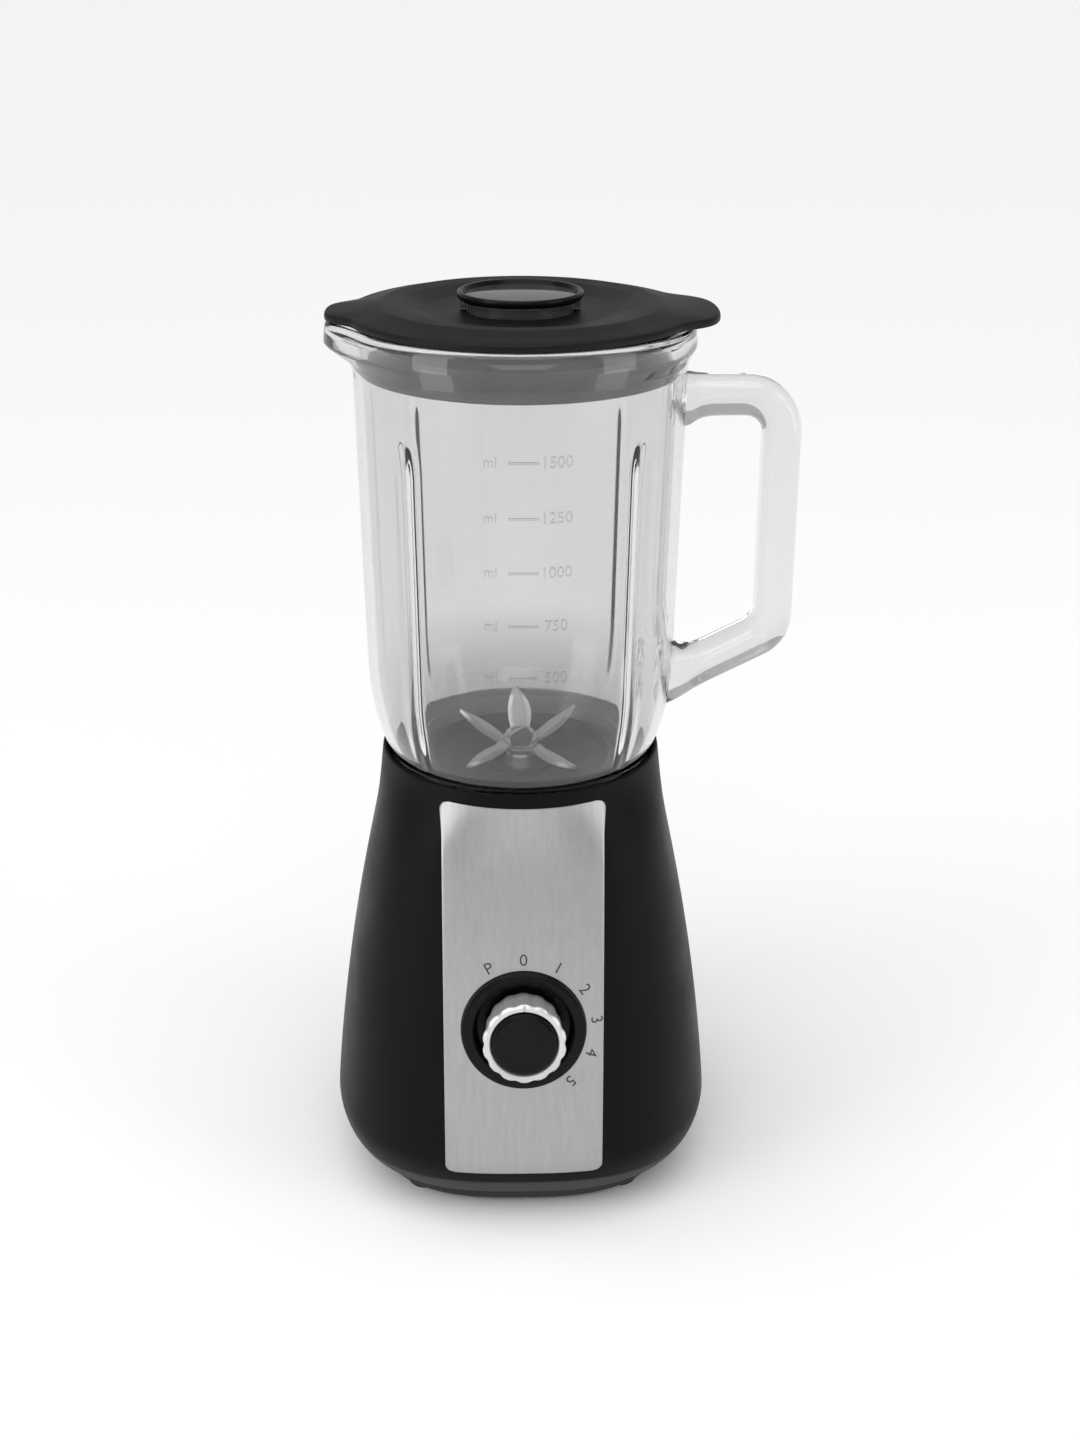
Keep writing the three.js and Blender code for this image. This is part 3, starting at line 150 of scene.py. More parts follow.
def prism(outline, low, high, bevel=0.0, segments=4):
    """An outline in X and Z, in millimetres, extruded along Y, with its long edges rounded."""
    bm = bmesh.new()
    verts = [bm.verts.new((x * MM, low * MM, z * MM)) for x, z in outline]
    face = bm.faces.new(verts)
    made = bmesh.ops.extrude_face_region(bm, geom=[face])["geom"]
    moved = [item for item in made if isinstance(item, bmesh.types.BMVert)]
    bmesh.ops.translate(bm, verts=moved, vec=(0, (high - low) * MM, 0))
    bmesh.ops.recalc_face_normals(bm, faces=bm.faces)
    if bevel:
        rims = [e for e in bm.edges if abs(e.verts[0].co.y - e.verts[1].co.y) < 1e-7]
        bmesh.ops.bevel(
            bm, geom=rims, offset=bevel * MM, segments=segments, profile=0.5,
            affect="EDGES", material=-1, clamp_overlap=True,
        )
    return bm


def solid(bm, name="tool"):
    mesh = bpy.data.meshes.new(name)
    bm.to_mesh(mesh)
    bm.free()
    obj = bpy.data.objects.new(name, mesh)
    bpy.context.scene.collection.objects.link(obj)
    return obj


def combined(bm, operation, *tools):
    """The bmesh cut by, or joined to, the tool bmeshes."""
    body = solid(bm)
    others = [solid(tool) for tool in tools]
    for other in others:
        modifier = body.modifiers.new("combine", "BOOLEAN")
        modifier.operation = operation
        modifier.solver = "MANIFOLD"
        modifier.object = other
    graph = bpy.context.evaluated_depsgraph_get()
    result = bmesh.new()
    result.from_mesh(body.evaluated_get(graph).to_mesh())
    for obj in [body, *others]:
        bpy.data.objects.remove(obj)
    bmesh.ops.remove_doubles(result, verts=result.verts, dist=1e-6)
    return result


def joined(*parts):
    """Several bmeshes in one, where they don't touch."""
    whole = bmesh.new()
    for part in parts:
        mesh = bpy.data.meshes.new("part")
        part.to_mesh(mesh)
        part.free()
        whole.from_mesh(mesh)
        bpy.data.meshes.remove(mesh)
    return whole


def reshaped(bm, move):
    for vert in bm.verts:
        vert.co = Vector(move(*(vert.co / MM))) * MM
    return bm


def placed(bm, x=0.0, y=0.0, z=0.0, turn=0.0):
    matrix = Matrix.Translation((x * MM, y * MM, z * MM)) @ Matrix.Rotation(turn, 4, "Z")
    bmesh.ops.transform(bm, matrix=matrix, verts=bm.verts)
    return bm


def tipped(bm, quarters):
    """Turns a bmesh about the X axis by quarter turns."""
    matrix = Matrix.Rotation(quarters * math.pi / 2, 3, "X")
    bmesh.ops.rotate(bm, verts=bm.verts, cent=(0, 0, 0), matrix=matrix)
    return bm


def piece(name, bm, slot, body, *nodes, sharp=38):
    """Makes a finished piece of a bmesh: its finish, the body it rides on, the nodes it stands for."""
    mesh = bpy.data.meshes.new(name)
    bm.to_mesh(mesh)
    bm.free()
    mesh.shade_smooth()
    mesh.set_sharp_from_angle(angle=math.radians(sharp))
    obj = bpy.data.objects.new(name, mesh)
    bpy.context.scene.collection.objects.link(obj)
    mesh.materials.append(finishes[slot])
    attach(obj, body)
    if nodes:
        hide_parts(*nodes)
    return obj


def smoothstep(value, low, high):
    t = min(1.0, max(0.0, (value - low) / (high - low)))
    return t * t * (3 - 2 * t)


def mix(a, b, t):
    return a + (b - a) * t


# ---- Finishes ------------------------------------------------------------------------------
class Finish:
    """A node material with a Principled surface and patterns on Object coordinates."""

    def __init__(self, name, colour, roughness, metallic=0.0, **sockets):
        self.material = bpy.data.materials.new(name)
        self.material.use_nodes = True
        self.tree = self.material.node_tree
        self.surface = self.tree.nodes["Principled BSDF"]
        self.place = self.add("ShaderNodeTexCoord").outputs["Object"]
        self.set("Base Color", (*colour, 1))
        self.set("Roughness", roughness)
        self.set("Metallic", metallic)
        for socket, value in sockets.items():
            self.set(socket.replace("_", " "), value)

    def add(self, kind, **values):
        node = self.tree.nodes.new(kind)
        for key, value in values.items():
            setattr(node, key, value)
        return node

    def set(self, socket, value):
        self.surface.inputs[socket].default_value = value

    def link(self, source, target):
        self.tree.links.new(source, target)

    def pattern(self, scale, stretch=(1, 1, 1), detail=2.0, rough=0.5):
        """Noise on the object's own coordinates, at scale features per metre."""
        mapping = self.add("ShaderNodeMapping")
        mapping.inputs["Scale"].default_value = stretch
        self.link(self.place, mapping.inputs["Vector"])
        texture = self.add("ShaderNodeTexNoise")
        texture.inputs["Scale"].default_value = scale
        texture.inputs["Detail"].default_value = detail
        texture.inputs["Roughness"].default_value = rough
        self.link(mapping.outputs["Vector"], texture.inputs["Vector"])
        return texture.outputs["Fac"]

    def ranged(self, source, low, high, start=0.3, end=0.7):
        ramp = self.add("ShaderNodeMapRange")
        ramp.inputs["From Min"].default_value = start
        ramp.inputs["From Max"].default_value = end
        ramp.inputs["To Min"].default_value = low
        ramp.inputs["To Max"].default_value = high
        self.link(source, ramp.inputs["Value"])
        return ramp.outputs["Result"]

    def vary_roughness(self, source, low, high):
        self.link(self.ranged(source, low, high), self.surface.inputs["Roughness"])

    def vary_colour(self, source, dark, light, start=0.3, end=0.7):
        blend = self.add("ShaderNodeMix", data_type="RGBA")
        blend.inputs["A"].default_value = (*dark, 1)
        blend.inputs["B"].default_value = (*light, 1)
        self.link(self.ranged(source, 0, 1, start, end), blend.inputs["Factor"])
        self.link(blend.outputs["Result"], self.surface.inputs["Base Color"])

    def bumped(self, *layers):
        """Bump from (pattern, height in millimetres, strength) layers, one on top of another."""
        normal = None
        for source, height, strength in layers:
            bump = self.add("ShaderNodeBump")
            bump.inputs["Distance"].default_value = height * MM
            bump.inputs["Strength"].default_value = strength
            self.link(source, bump.inputs["Height"])
            if normal:
                self.link(normal, bump.inputs["Normal"])
            normal = bump.outputs["Normal"]
        self.link(normal, self.surface.inputs["Normal"])


def moulded(name, colour, roughness, grain, depth, spread=0.06, **sockets):
    """Moulded plastic or rubber: a fine grain, uneven gloss and a slight drift in colour."""
    finish = Finish(name, colour, roughness, **sockets)
    fine = finish.pattern(grain, detail=3)
    broad = finish.pattern(35, detail=4)
    finish.vary_roughness(broad, roughness - spread, roughness + spread)
    light = tuple(min(1, value * 1.25) for value in colour)
    dark = tuple(value * 0.85 for value in colour)
    finish.vary_colour(broad, dark, light)
    finish.bumped((fine, depth, 0.35), (broad, 0.05, 0.05))
    return finish.material


def brushed(name, colour, roughness, stretch, fineness=900, contrast=0.12, depth=0.02, metallic=1.0):
    """Brushed metal: streaks along one direction in colour, gloss and height."""
    finish = Finish(name, colour, roughness, metallic)
    streaks = finish.pattern(fineness, stretch, detail=4, rough=0.65)
    broad = finish.pattern(fineness * 0.18, stretch, detail=3)
    clouds = finish.pattern(22, detail=3)
    both = finish.add("ShaderNodeMath", operation="ADD")
    finish.link(streaks, both.inputs[0])
    finish.link(broad, both.inputs[1])
    dark = tuple(value * (1 - contrast) for value in colour)
    light = tuple(min(1, value * (1 + contrast)) for value in colour)
    finish.vary_colour(both.outputs["Value"], dark, light, 0.75, 1.25)
    finish.vary_roughness(clouds, roughness - 0.04, roughness + 0.06)
    finish.bumped((streaks, depth, 0.5))
    return finish.material


# Where the jar's heel gets painted light: the glass is made less clear low at its rear, so its pale base
# colour brightens it there.
PAINTED_HEEL_LIGHT_Y = (0.0, 0.05)      # metres, from the middle of the jar to its rear
PAINTED_HEEL_LIGHT_Z = (0.185, 0.24)    # metres, over the heel


def clear(name, colour, roughness, ior, ripple, clearness=1.0, painted_heel_light=0.0):
    """Clear glass or plastic with a faint ripple from its mould, and painted light in its thick rear heel:
    the glass is made less clear there, so its pale base colour stands in for light the heel refracts.
    """
    finish = Finish(name, colour, roughness, 0.0, Transmission_Weight=clearness, IOR=ior)
    # Painted light: transmission falls towards the rear and low on the heel, so the base colour shows there
    # as a brightening.
    if painted_heel_light:
        axes = finish.add("ShaderNodeSeparateXYZ")
        finish.link(finish.place, axes.inputs["Vector"])
        both = finish.add("ShaderNodeMath", operation="MULTIPLY")
        finish.link(finish.ranged(axes.outputs["Y"], 0, 1, *PAINTED_HEEL_LIGHT_Y), both.inputs[0])
        finish.link(finish.ranged(axes.outputs["Z"], 1, 0, *PAINTED_HEEL_LIGHT_Z), both.inputs[1])
        painted_light_weight = finish.ranged(both.outputs["Value"], clearness, clearness - painted_heel_light, 0, 1)
        finish.link(painted_light_weight, finish.surface.inputs["Transmission Weight"])
    wave = finish.pattern(28, detail=1)
    fine = finish.pattern(160, detail=2)
    finish.bumped((wave, ripple, 0.5), (fine, ripple * 0.06, 0.4))
    return finish.material


def laminated(name):
    """Thin steel sheets stacked along the axis."""
    finish = Finish(name, (0.15, 0.155, 0.16), 0.5, 0.8)
    sheets = finish.add("ShaderNodeTexWave", bands_direction="Z", wave_profile="SAW")
    sheets.inputs["Scale"].default_value = 320
    finish.link(finish.place, sheets.inputs["Vector"])
    stain = finish.pattern(60, detail=4)
    finish.vary_colour(stain, (0.1, 0.105, 0.11), (0.2, 0.2, 0.21))
    finish.bumped((sheets.outputs["Fac"], 0.15, 0.6), (stain, 0.05, 0.3))
    return finish.material


def wound(name):
    """Enamelled wire laid side by side."""
    finish = Finish(name, (0.5, 0.2, 0.08), 0.35, 0.85, Coat_Weight=0.4)
    turns = finish.add("ShaderNodeTexWave", bands_direction="DIAGONAL")
    turns.inputs["Scale"].default_value = 240
    turns.inputs["Distortion"].default_value = 0.6
    finish.link(finish.place, turns.inputs["Vector"])
    finish.vary_colour(turns.outputs["Fac"], (0.3, 0.1, 0.04), (0.62, 0.27, 0.11), 0.2, 0.8)
    finish.bumped((turns.outputs["Fac"], 0.4, 0.8))
    return finish.material


finishes = {
    "body_black": moulded("body_black", (0.0022, 0.0022, 0.0023), 0.45, 2600, 0.03, Specular_IOR_Level=0.1),
    "lid_black": moulded("lid_black", (0.005, 0.005, 0.0052), 0.46, 2200, 0.04, Specular_IOR_Level=0.16),
    "dark_plastic": moulded("dark_plastic", (0.03, 0.03, 0.031), 0.55, 1800, 0.06, Specular_IOR_Level=0.3),
    "seat_plastic": moulded("seat_plastic", (0.085, 0.085, 0.087), 0.42, 2400, 0.03),
    "gloss_black": moulded(
        "gloss_black", (0.003, 0.003, 0.0031), 0.22, 1200, 0.004, 0.03, Specular_IOR_Level=0.14,
    ),
    "rubber_black": moulded("rubber_black", (0.02, 0.02, 0.02), 0.75, 1500, 0.08),
    "seal_grey": moulded("seal_grey", (0.15, 0.15, 0.153), 0.55, 1900, 0.04),
    "nylon_white": moulded("nylon_white", (0.66, 0.65, 0.6), 0.45, 1500, 0.04),
    "panel_steel": brushed("panel_steel", (0.4, 0.4, 0.404), 0.36, (1, 1, 0.012), 2600, 0.06, 0.008),
    "knob_chrome": brushed(
        "knob_chrome", (0.62, 0.62, 0.625), 0.34, (0.25, 1, 0.25), 700, 0.05, 0.006, 0.55,
    ),
    "blade_steel": brushed("blade_steel", (0.78, 0.78, 0.785), 0.36, (0.2, 1, 1), 800, 0.06, 0.01, 0.6),
    "screw_steel": brushed("screw_steel", (0.45, 0.45, 0.46), 0.35, (1, 1, 0.3), 900, 0.1, 0.01),
    # jar_glass: its grey tint is painted shade, darkening the bright floor seen through the jar to stand in
    # for a grey backdrop; the same pale colour shows in the heel's painted light.
    "jar_glass": clear("jar_glass", (0.79, 0.792, 0.79), 0.0, 1.5, 0.1, 1.0, 0.5),
    "cup_smoke": clear("cup_smoke", (0.22, 0.22, 0.225), 0.04, 1.49, 0.05, 0.75),
    "laminations": laminated("laminations"),
    "copper_wire": wound("copper_wire"),
}
ink = moulded("dial_ink", (0.03, 0.03, 0.031), 0.5, 1500, 0.01)


# ---- The base's rounded-square form --------------------------------------------------------
SHOULDER_BLEND = 1.6      # how softly the side turns into the collar


def half_at(z):
    """Half-width of the base at a height, on the middle of a side."""
    if z < BELLY_Z:
        down = min(1.0, (BELLY_Z - z) / (BELLY_Z - FOOT_Z))
        return FOOT_HALF + (BELLY_HALF - FOOT_HALF) * (1 - down ** FOOT_CURVE) ** (1 / FOOT_CURVE)
    up = (z - BELLY_Z) / (SHOULDER_Z - BELLY_Z)
    side = BELLY_HALF - (BELLY_HALF - SHOULDER_HALF) * ((1 - SIDE_BOW) * up + SIDE_BOW * up * up)
    collar = mix(SHOULDER_HALF, RIM_HALF, (z - SHOULDER_Z) / (RIM_Z - SHOULDER_Z))
    return min(BELLY_HALF, (side + collar + math.hypot(side - collar, SHOULDER_BLEND)) / 2)


def power_at(z):
    return mix(SQUARENESS, 2.0, smoothstep(z, SHOULDER_Z - 8, RIM_Z - 2))


def squared(x, y, z):
    radius = math.hypot(x, y)
    if radius < 1e-6 or (radius < WELL_R + 0.01 and z > DECK_Z - 5):
        return x, y, z
    power = power_at(z)
    spread = (abs(x / radius) ** power + abs(y / radius) ** power) ** (1 / power)
    return x / spread, y / spread, z


def front_at(x, z, grow=0.0):
    """Distance from the axis plane to the front of the base, at a width and a height."""
    half = half_at(z) + grow
    power = power_at(z)
    return half * (1 - abs(x / half) ** power) ** (1 / power)


SLOPE = math.atan((half_at(DIAL_Z - 10) - half_at(DIAL_Z + 10)) / 20)
PANEL_PROUD = 0.4
DIAL = Matrix.Translation((0, -(half_at(DIAL_Z) + PANEL_PROUD) * MM, DIAL_Z * MM)) @ Matrix.Rotation(
    math.pi / 2 - SLOPE, 4, "X"
)


def at_dial(bm):
    """Places a bmesh made round the Z axis on the dial, facing out of the panel."""
    bmesh.ops.transform(bm, matrix=DIAL, verts=bm.verts)
    return bm


def cylinder(radius, low, high, steps=ROUND):
    return turned([(0, low), (radius, low), (radius, high), (0, high)], steps, closed=False)


GLAND_HOLE_R = 5.9
GLAND_FLANGE_R = 8.4
GLAND_LENGTH = 12.9
BEZEL_CUP_HOLE_R = 24.5


def base_housing():
    heights = [mix(SEAM_Z, BELLY_Z, k / 8) for k in range(1, 9)]
    heights += [mix(BELLY_Z, SHOULDER_Z, k / 26) for k in range(1, 27)]
    heights += [mix(SHOULDER_Z, RIM_Z - 3, k / 10) for k in range(1, 11)]
    outside = [(half_at(z), z) for z in heights]
    foot = [(half_at(SEAM_Z + 0.4) - WALL, SEAM_Z), (half_at(SEAM_Z + 0.2), SEAM_Z, 0.6)]
    rim = [
        (RIM_HALF, RIM_Z, 1.8), (WELL_R + 1.2, RIM_Z, 1.2), (WELL_R, RIM_Z - 3.4, 2),
        (WELL_R, WELL_Z, 1.5), (11, WELL_Z, 1), (9, WELL_Z - 1), (9, DECK_Z),
        (half_at(DECK_Z) - WALL - 4, DECK_Z, 1),
    ]
    inside = [(half_at(z) - WALL, z) for z in reversed(heights[:32])]
    bm = turned(rounded(foot + outside + rim + inside), FINE)
    reshaped(bm, squared)
    gland = tipped(cylinder(GLAND_HOLE_R, 0, 20, SMALL), -1)
    placed(gland, 0, BELLY_HALF - 12, gland_low[2] + GLAND_FLANGE_R)
    bm = combined(bm, "DIFFERENCE", at_dial(cylinder(BEZEL_CUP_HOLE_R, -20, 12)), gland)
    return piece("housing_shell", bm, "body_black", "base", "base_housing")


def dial_boss():
    """The ring inside the housing that the bezel's cup is seated in."""
    outline = [(22.9, -9.5), (28, -9.5), (28, -5, 1), (22.9, -5)]
    return piece("dial_boss", at_dial(turned(rounded(outline))), "body_black", "base")


PANEL_CORNER = 4.0
PANEL_SHEET = 1.1
PANEL_FLARE = 0.8         # how much wider each side gets at the top, over the collar
PANEL_FLARE_HEIGHT = 16
PANEL_HOLE_R = 26.8


def front_panel():
    """A bent sheet with round corners, and a hole for the dial."""
    width = panel_high[0]
    low, high = panel_low[2], panel_high[2]
    bm = bmesh.new()
    bmesh.ops.create_grid(bm, x_segments=72, y_segments=190, size=0.5)

    def bent(u, v):
        """v is spaced close near both ends, where the corners turn."""
        z = mix(low, high, v + 0.5 - 0.052 * math.sin(math.tau * (v + 0.5)))
        inset = max(0.0, PANEL_CORNER - min(z - low, high - z))
        rounding = math.sqrt(max(0.0, PANEL_CORNER * PANEL_CORNER - inset * inset))
        half = width - PANEL_CORNER + rounding
        half += PANEL_FLARE * smoothstep(z, high - PANEL_FLARE_HEIGHT, high) - 0.3
        x = 2 * u * half
        return x, -front_at(x, z, PANEL_PROUD), z

    for vert in bm.verts:
        vert.co = Vector(bent(vert.co.x, vert.co.y)) * MM
    bmesh.ops.recalc_face_normals(bm, faces=bm.faces)

    def off_middle(face):
        centre = face.calc_center_median()
        return abs(centre.x) + abs(centre.z - 0.15)

    if min(bm.faces, key=off_middle).normal.y > 0:
        bmesh.ops.reverse_faces(bm, faces=bm.faces)
    bmesh.ops.solidify(bm, geom=bm.faces, thickness=PANEL_SHEET * MM)
    bmesh.ops.recalc_face_normals(bm, faces=bm.faces)
    rims = [e for e in bm.edges if len(e.link_faces) == 2 and e.calc_face_angle(0) > math.radians(50)]
    bmesh.ops.bevel(
        bm, geom=rims, offset=0.22 * MM, segments=2, profile=0.5, affect="EDGES", material=-1,
    )
    bm = combined(bm, "DIFFERENCE", at_dial(cylinder(PANEL_HOLE_R, -20, 12, FINE)))
    return piece("brushed_panel", bm, "panel_steel", "base", "front_panel")


def lettering(text, size, depth):
    """A word or number as a bmesh, centred, upright in X and Y, in millimetres."""
    curve = bpy.data.curves.new("letters", "FONT")
    curve.body = text
    curve.size = size * MM
    curve.extrude = depth * MM / 2
    curve.align_x = "CENTER"
    curve.align_y = "CENTER"
    obj = bpy.data.objects.new("letters", curve)
    bpy.context.scene.collection.objects.link(obj)
    graph = bpy.context.evaluated_depsgraph_get()
    bm = bmesh.new()
    bm.from_mesh(obj.evaluated_get(graph).to_mesh())
    bpy.data.objects.remove(obj)
    bmesh.ops.remove_doubles(bm, verts=bm.verts, dist=1e-7)
    bmesh.ops.recalc_face_normals(bm, faces=bm.faces)
    return bm


DIAL_STEP = 28            # degrees from one mark of the dial to the next
DIAL_LETTER = 7.2
DIAL_LETTER_R = 31.1


def dial_numbers():
    """The pulse letter and the speeds, printed round the bezel."""
    parts = []
    for i, letter in enumerate("P012345"):
        turn = math.radians(DIAL_STEP * (i - 1))
        bm = lettering(letter, DIAL_LETTER, 0.3)
        matrix = Matrix.Rotation(-turn, 4, "Z") @ Matrix.Translation((0, DIAL_LETTER_R * MM, 0))
        bmesh.ops.transform(bm, matrix=matrix, verts=bm.verts)
        bmesh.ops.subdivide_edges(bm, edges=[e for e in bm.edges if e.calc_length() > 1.2 * MM], cuts=1)
        at_dial(bm)
        parts.append(bm)
    bm = joined(*parts)
    normal = Vector((0, -math.cos(SLOPE), math.sin(SLOPE)))
    base = DIAL.translation
    for vert in bm.verts:
        raised = (vert.co - base).dot(normal) / MM
        surface = -front_at(vert.co.x / MM, vert.co.z / MM, PANEL_PROUD)
        vert.co.y = (surface - 0.06 if raised > 0 else surface + 0.15) * MM
    obj = piece("dial_numbers", bm, "gloss_black", "base")
    obj.data.materials[0] = ink
    return obj


VENTS = 10
VENT_IN, VENT_OUT, VENT_HALF, VENT_ROUND = 19, 36, 1.7, 1.6
COVER_WALL = 2.4


def bottom_cover():
    lip = half_at(SEAM_Z) - WALL - GAP
    low = cover_low[2] + 2
    seam = SEAM_Z - 0.45
    sides = [mix(FOOT_Z, seam, (k / 12) ** 1.5) for k in range(1, 12)]
    outline = [
        (0, low - 2), (14, low - 2, 0.8), (14, low, 0.5), (FOOT_HALF - 0.6, low, 1.8),
        (FOOT_HALF, FOOT_Z - 2, 1),
    ]
    outline += [(half_at(z), z) for z in sides]
    outline += [
        (half_at(seam) - 0.1, seam, 0.5), (lip, seam), (lip, SEAM_Z + 4, 0.6),
        (lip - COVER_WALL, SEAM_Z + 4, 0.6), (lip - COVER_WALL, seam),
    ]
    outline += [(half_at(z) - WALL, z) for z in reversed(sides[::2])]
    outline += [(FOOT_HALF - WALL, low + 3, 1), (0, low + 3)]
    bm = turned(rounded(outline, closed=False), FINE, closed=False)
    reshaped(bm, squared)
    tools = []
    for i in range(VENTS):
        slot = rounded([
            (VENT_IN, -VENT_HALF, VENT_ROUND), (VENT_OUT, -VENT_HALF, VENT_ROUND),
            (VENT_OUT, VENT_HALF, VENT_ROUND), (VENT_IN, VENT_HALF, VENT_ROUND),
        ])
        tool = tipped(prism(slot, -12, 12), 1)
        tools.append(placed(tool, turn=math.tau * (i + 0.5) / VENTS))
    for i in range(1, 5):
        screw_low, screw_high = node_box(f"cover_screw_{i}")
        centre = [(a + b) / 2 for a, b in zip(screw_low, screw_high)]
        sink = [(0, -2), (3.5, -2), (3.5, 4.8), (1.9, 4.8), (1.9, 8), (0, 8)]
        tools.append(placed(turned(sink, SMALL, closed=False), centre[0], centre[1]))
    bm = combined(bm, "DIFFERENCE", joined(*tools))
    return piece("base_cover", bm, "dark_plastic", "base", "bottom_cover")


def feet():
    for i in range(1, 5):
        low, high = node_box(f"foot_{i}")
        outline = [
            (0, 0.5), (2.2, 0.5, 0.5), (3, 0, 0.4), (7.2, 0, 0.8), (8, 1.2, 0.8), (7.8, 2.7, 0.3),
            (3, 2.7), (3, 8, 0.5), (0, 8),
        ]
        bm = turned(rounded(outline, closed=False), SMALL, closed=False)
        placed(bm, (low[0] + high[0]) / 2, (low[1] + high[1]) / 2)
        piece(f"rubber_foot_{i}", bm, "rubber_black", "base", f"foot_{i}")


def cord_gland():
    outline = [
        (3.8, 0), (5.6, 0, 0.5), (5.6, 10.3), (GLAND_FLANGE_R, 10.3, 0.3),
        (GLAND_FLANGE_R, 12.2, 1.2), (6.2, GLAND_LENGTH, 1), (4.6, GLAND_LENGTH, 0.8), (3.8, 11.5, 1),
    ]
    bm = turned(rounded(outline), SMALL)
    placed(tipped(bm, -1), 0, gland_high[1] - GLAND_LENGTH, (gland_low[2] + gland_high[2]) / 2)
    return piece("gland_grommet", bm, "rubber_black", "base", "cord_gland")


# ---- Dial ----------------------------------------------------------------------------------
def knob_bezel():
    outline = [
        (5.3, -8.4), (22.6, -8.4, 1), (22.6, -4.4), (26.5, -4.4), (26.5, 1.0, 0.9), (24.4, 1.6, 2),
        (21.6, 1.5, 0.7), (20.7, -0.6, 0.8), (20.7, -6, 1.4), (5.3, -6),
    ]
    return piece("dial_bezel", at_dial(turned(rounded(outline), FINE)), "gloss_black", "base", "knob_bezel")


KNOB_HEIGHT = 16.0
KNOB_R = 17.6
KNOB_LOBES = 14
KNOB_LOBE_DEPTH = 0.7


def knob_ring():
    """The grip ring: scalloped round its side, smooth and bevelled at its face."""
    outline = [
        (14.1, -3), (16.0, -3, 0.6), (16.3, 4), (16.7, 12.4), (KNOB_R, 13.0, 0.7), (KNOB_R, 14.3, 0.7),
        (16.2, 15.38, 0.7), (14.7, 15.1, 0.4), (14.1, 14.0),
    ]
    bm = turned(rounded(outline), KNOB_LOBES * 16)

    def scalloped(x, y, z):
        radius = math.hypot(x, y)
        if radius < 15.4 or z > 14.6:
            return x, y, z
        wave = 0.5 + 0.5 * math.cos(KNOB_LOBES * math.atan2(x, y))
        depth = KNOB_LOBE_DEPTH * (1 - wave) ** 2 * smoothstep(radius, 15.4, 16.2)
        return x * (1 - depth / radius), y * (1 - depth / radius), z

    reshaped(bm, scalloped)
    notch = prism([(-0.6, -1), (0.6, -1), (0.6, 1), (-0.6, 1)], 14.8, 18)
    bm = combined(bm, "DIFFERENCE", placed(notch, 0, 0, 15.6))
    return piece("knob_grip", at_dial(bm), "knob_chrome", "knob", "knob_ring", sharp=50)


def knob_cap():
    outline = [
        (0, 10.3), (3.3, 10.3), (3.3, 0), (6, 0), (6, 12), (11.8, 12), (11.8, -2), (13.8, -2),
        (13.8, 15.0, 0.9), (12.0, KNOB_HEIGHT - 0.35, 1.5), (9.5, KNOB_HEIGHT - 0.6, 4),
        (0, KNOB_HEIGHT - 0.9),
    ]
    bm = turned(rounded(outline, closed=False), ROUND, closed=False)
    return piece("knob_face", at_dial(bm), "gloss_black", "knob", "knob_cap")


# ---- Jar -----------------------------------------------------------------------------------
def jar_at(z):
    """Outside radius of the jar's body at a height above its heel."""
    low = JAR_TOP_R - JAR_TAPER
    straight = mix(low, JAR_TOP_R, (z - HEEL_Z) / (BEAD_Z - HEEL_Z))
    tuck = low - (WELL_R - 0.8)
    down = max(0.0, (HEEL_Z + HEEL_HEIGHT - z) / HEEL_HEIGHT)
    return straight - tuck * down ** HEEL_CURVE


RIB_TOP = JAR_RIM_Z - 38
RIB_DEPTH_FRONT, RIB_DEPTH_REAR, RIB_SPREAD = 3.6, 2.2, 2.9        # inside; spread in degrees
GROOVE_DEPTH_FRONT, GROOVE_DEPTH_REAR, GROOVE_SPREAD = 1.9, 0.7, 2.3        # outside
SPOUT_REACH = 8.0
SPOUT_SPREAD = math.radians(17)
JAR_STEPS = 288


def crowded(x, y, z):
    """Draws the jar's upright edges together where the ribs will be, at each eighth turn."""
    turn = (math.degrees(math.atan2(y, x)) + 360) % 90 - 45
    shift = math.radians(math.copysign(45 * abs(turn / 45) ** 1.6, turn) - turn)
    return x * math.cos(shift) - y * math.sin(shift), x * math.sin(shift) + y * math.cos(shift), z


def jar_formed(x, y, z):
    """Pushes out the spout and presses in the four upright ribs."""
    radius = math.hypot(x, y)
    if radius < NECK_R + 0.1 and z < HEEL_Z - 3:
        return x, y, z
    lift = smoothstep(z, BEAD_Z - 6, BEAD_Z + 5)
    aside = math.atan2(y, -x) / SPOUT_SPREAD
    grow = SPOUT_REACH * lift * math.exp(-aside * aside)
    inner = radius < jar_at(max(z, HEEL_Z)) - JAR_WALL / 2 and z > HEEL_Z
    window = smoothstep(z, HEEL_Z + 2, HEEL_Z + 22) * (1 - smoothstep(z, RIB_TOP - 14, RIB_TOP + 1))
    turn = (math.degrees(math.atan2(y, x)) + 360) % 90 - 45
    if inner:
        depth, spread = RIB_DEPTH_FRONT if y < 0 else RIB_DEPTH_REAR, RIB_SPREAD
    else:
        depth, spread = GROOVE_DEPTH_FRONT if y < 0 else GROOVE_DEPTH_REAR, GROOVE_SPREAD
    grow -= depth * window * math.exp(-((turn / spread) ** 2))
    return x * (1 + grow / radius), y * (1 + grow / radius), z


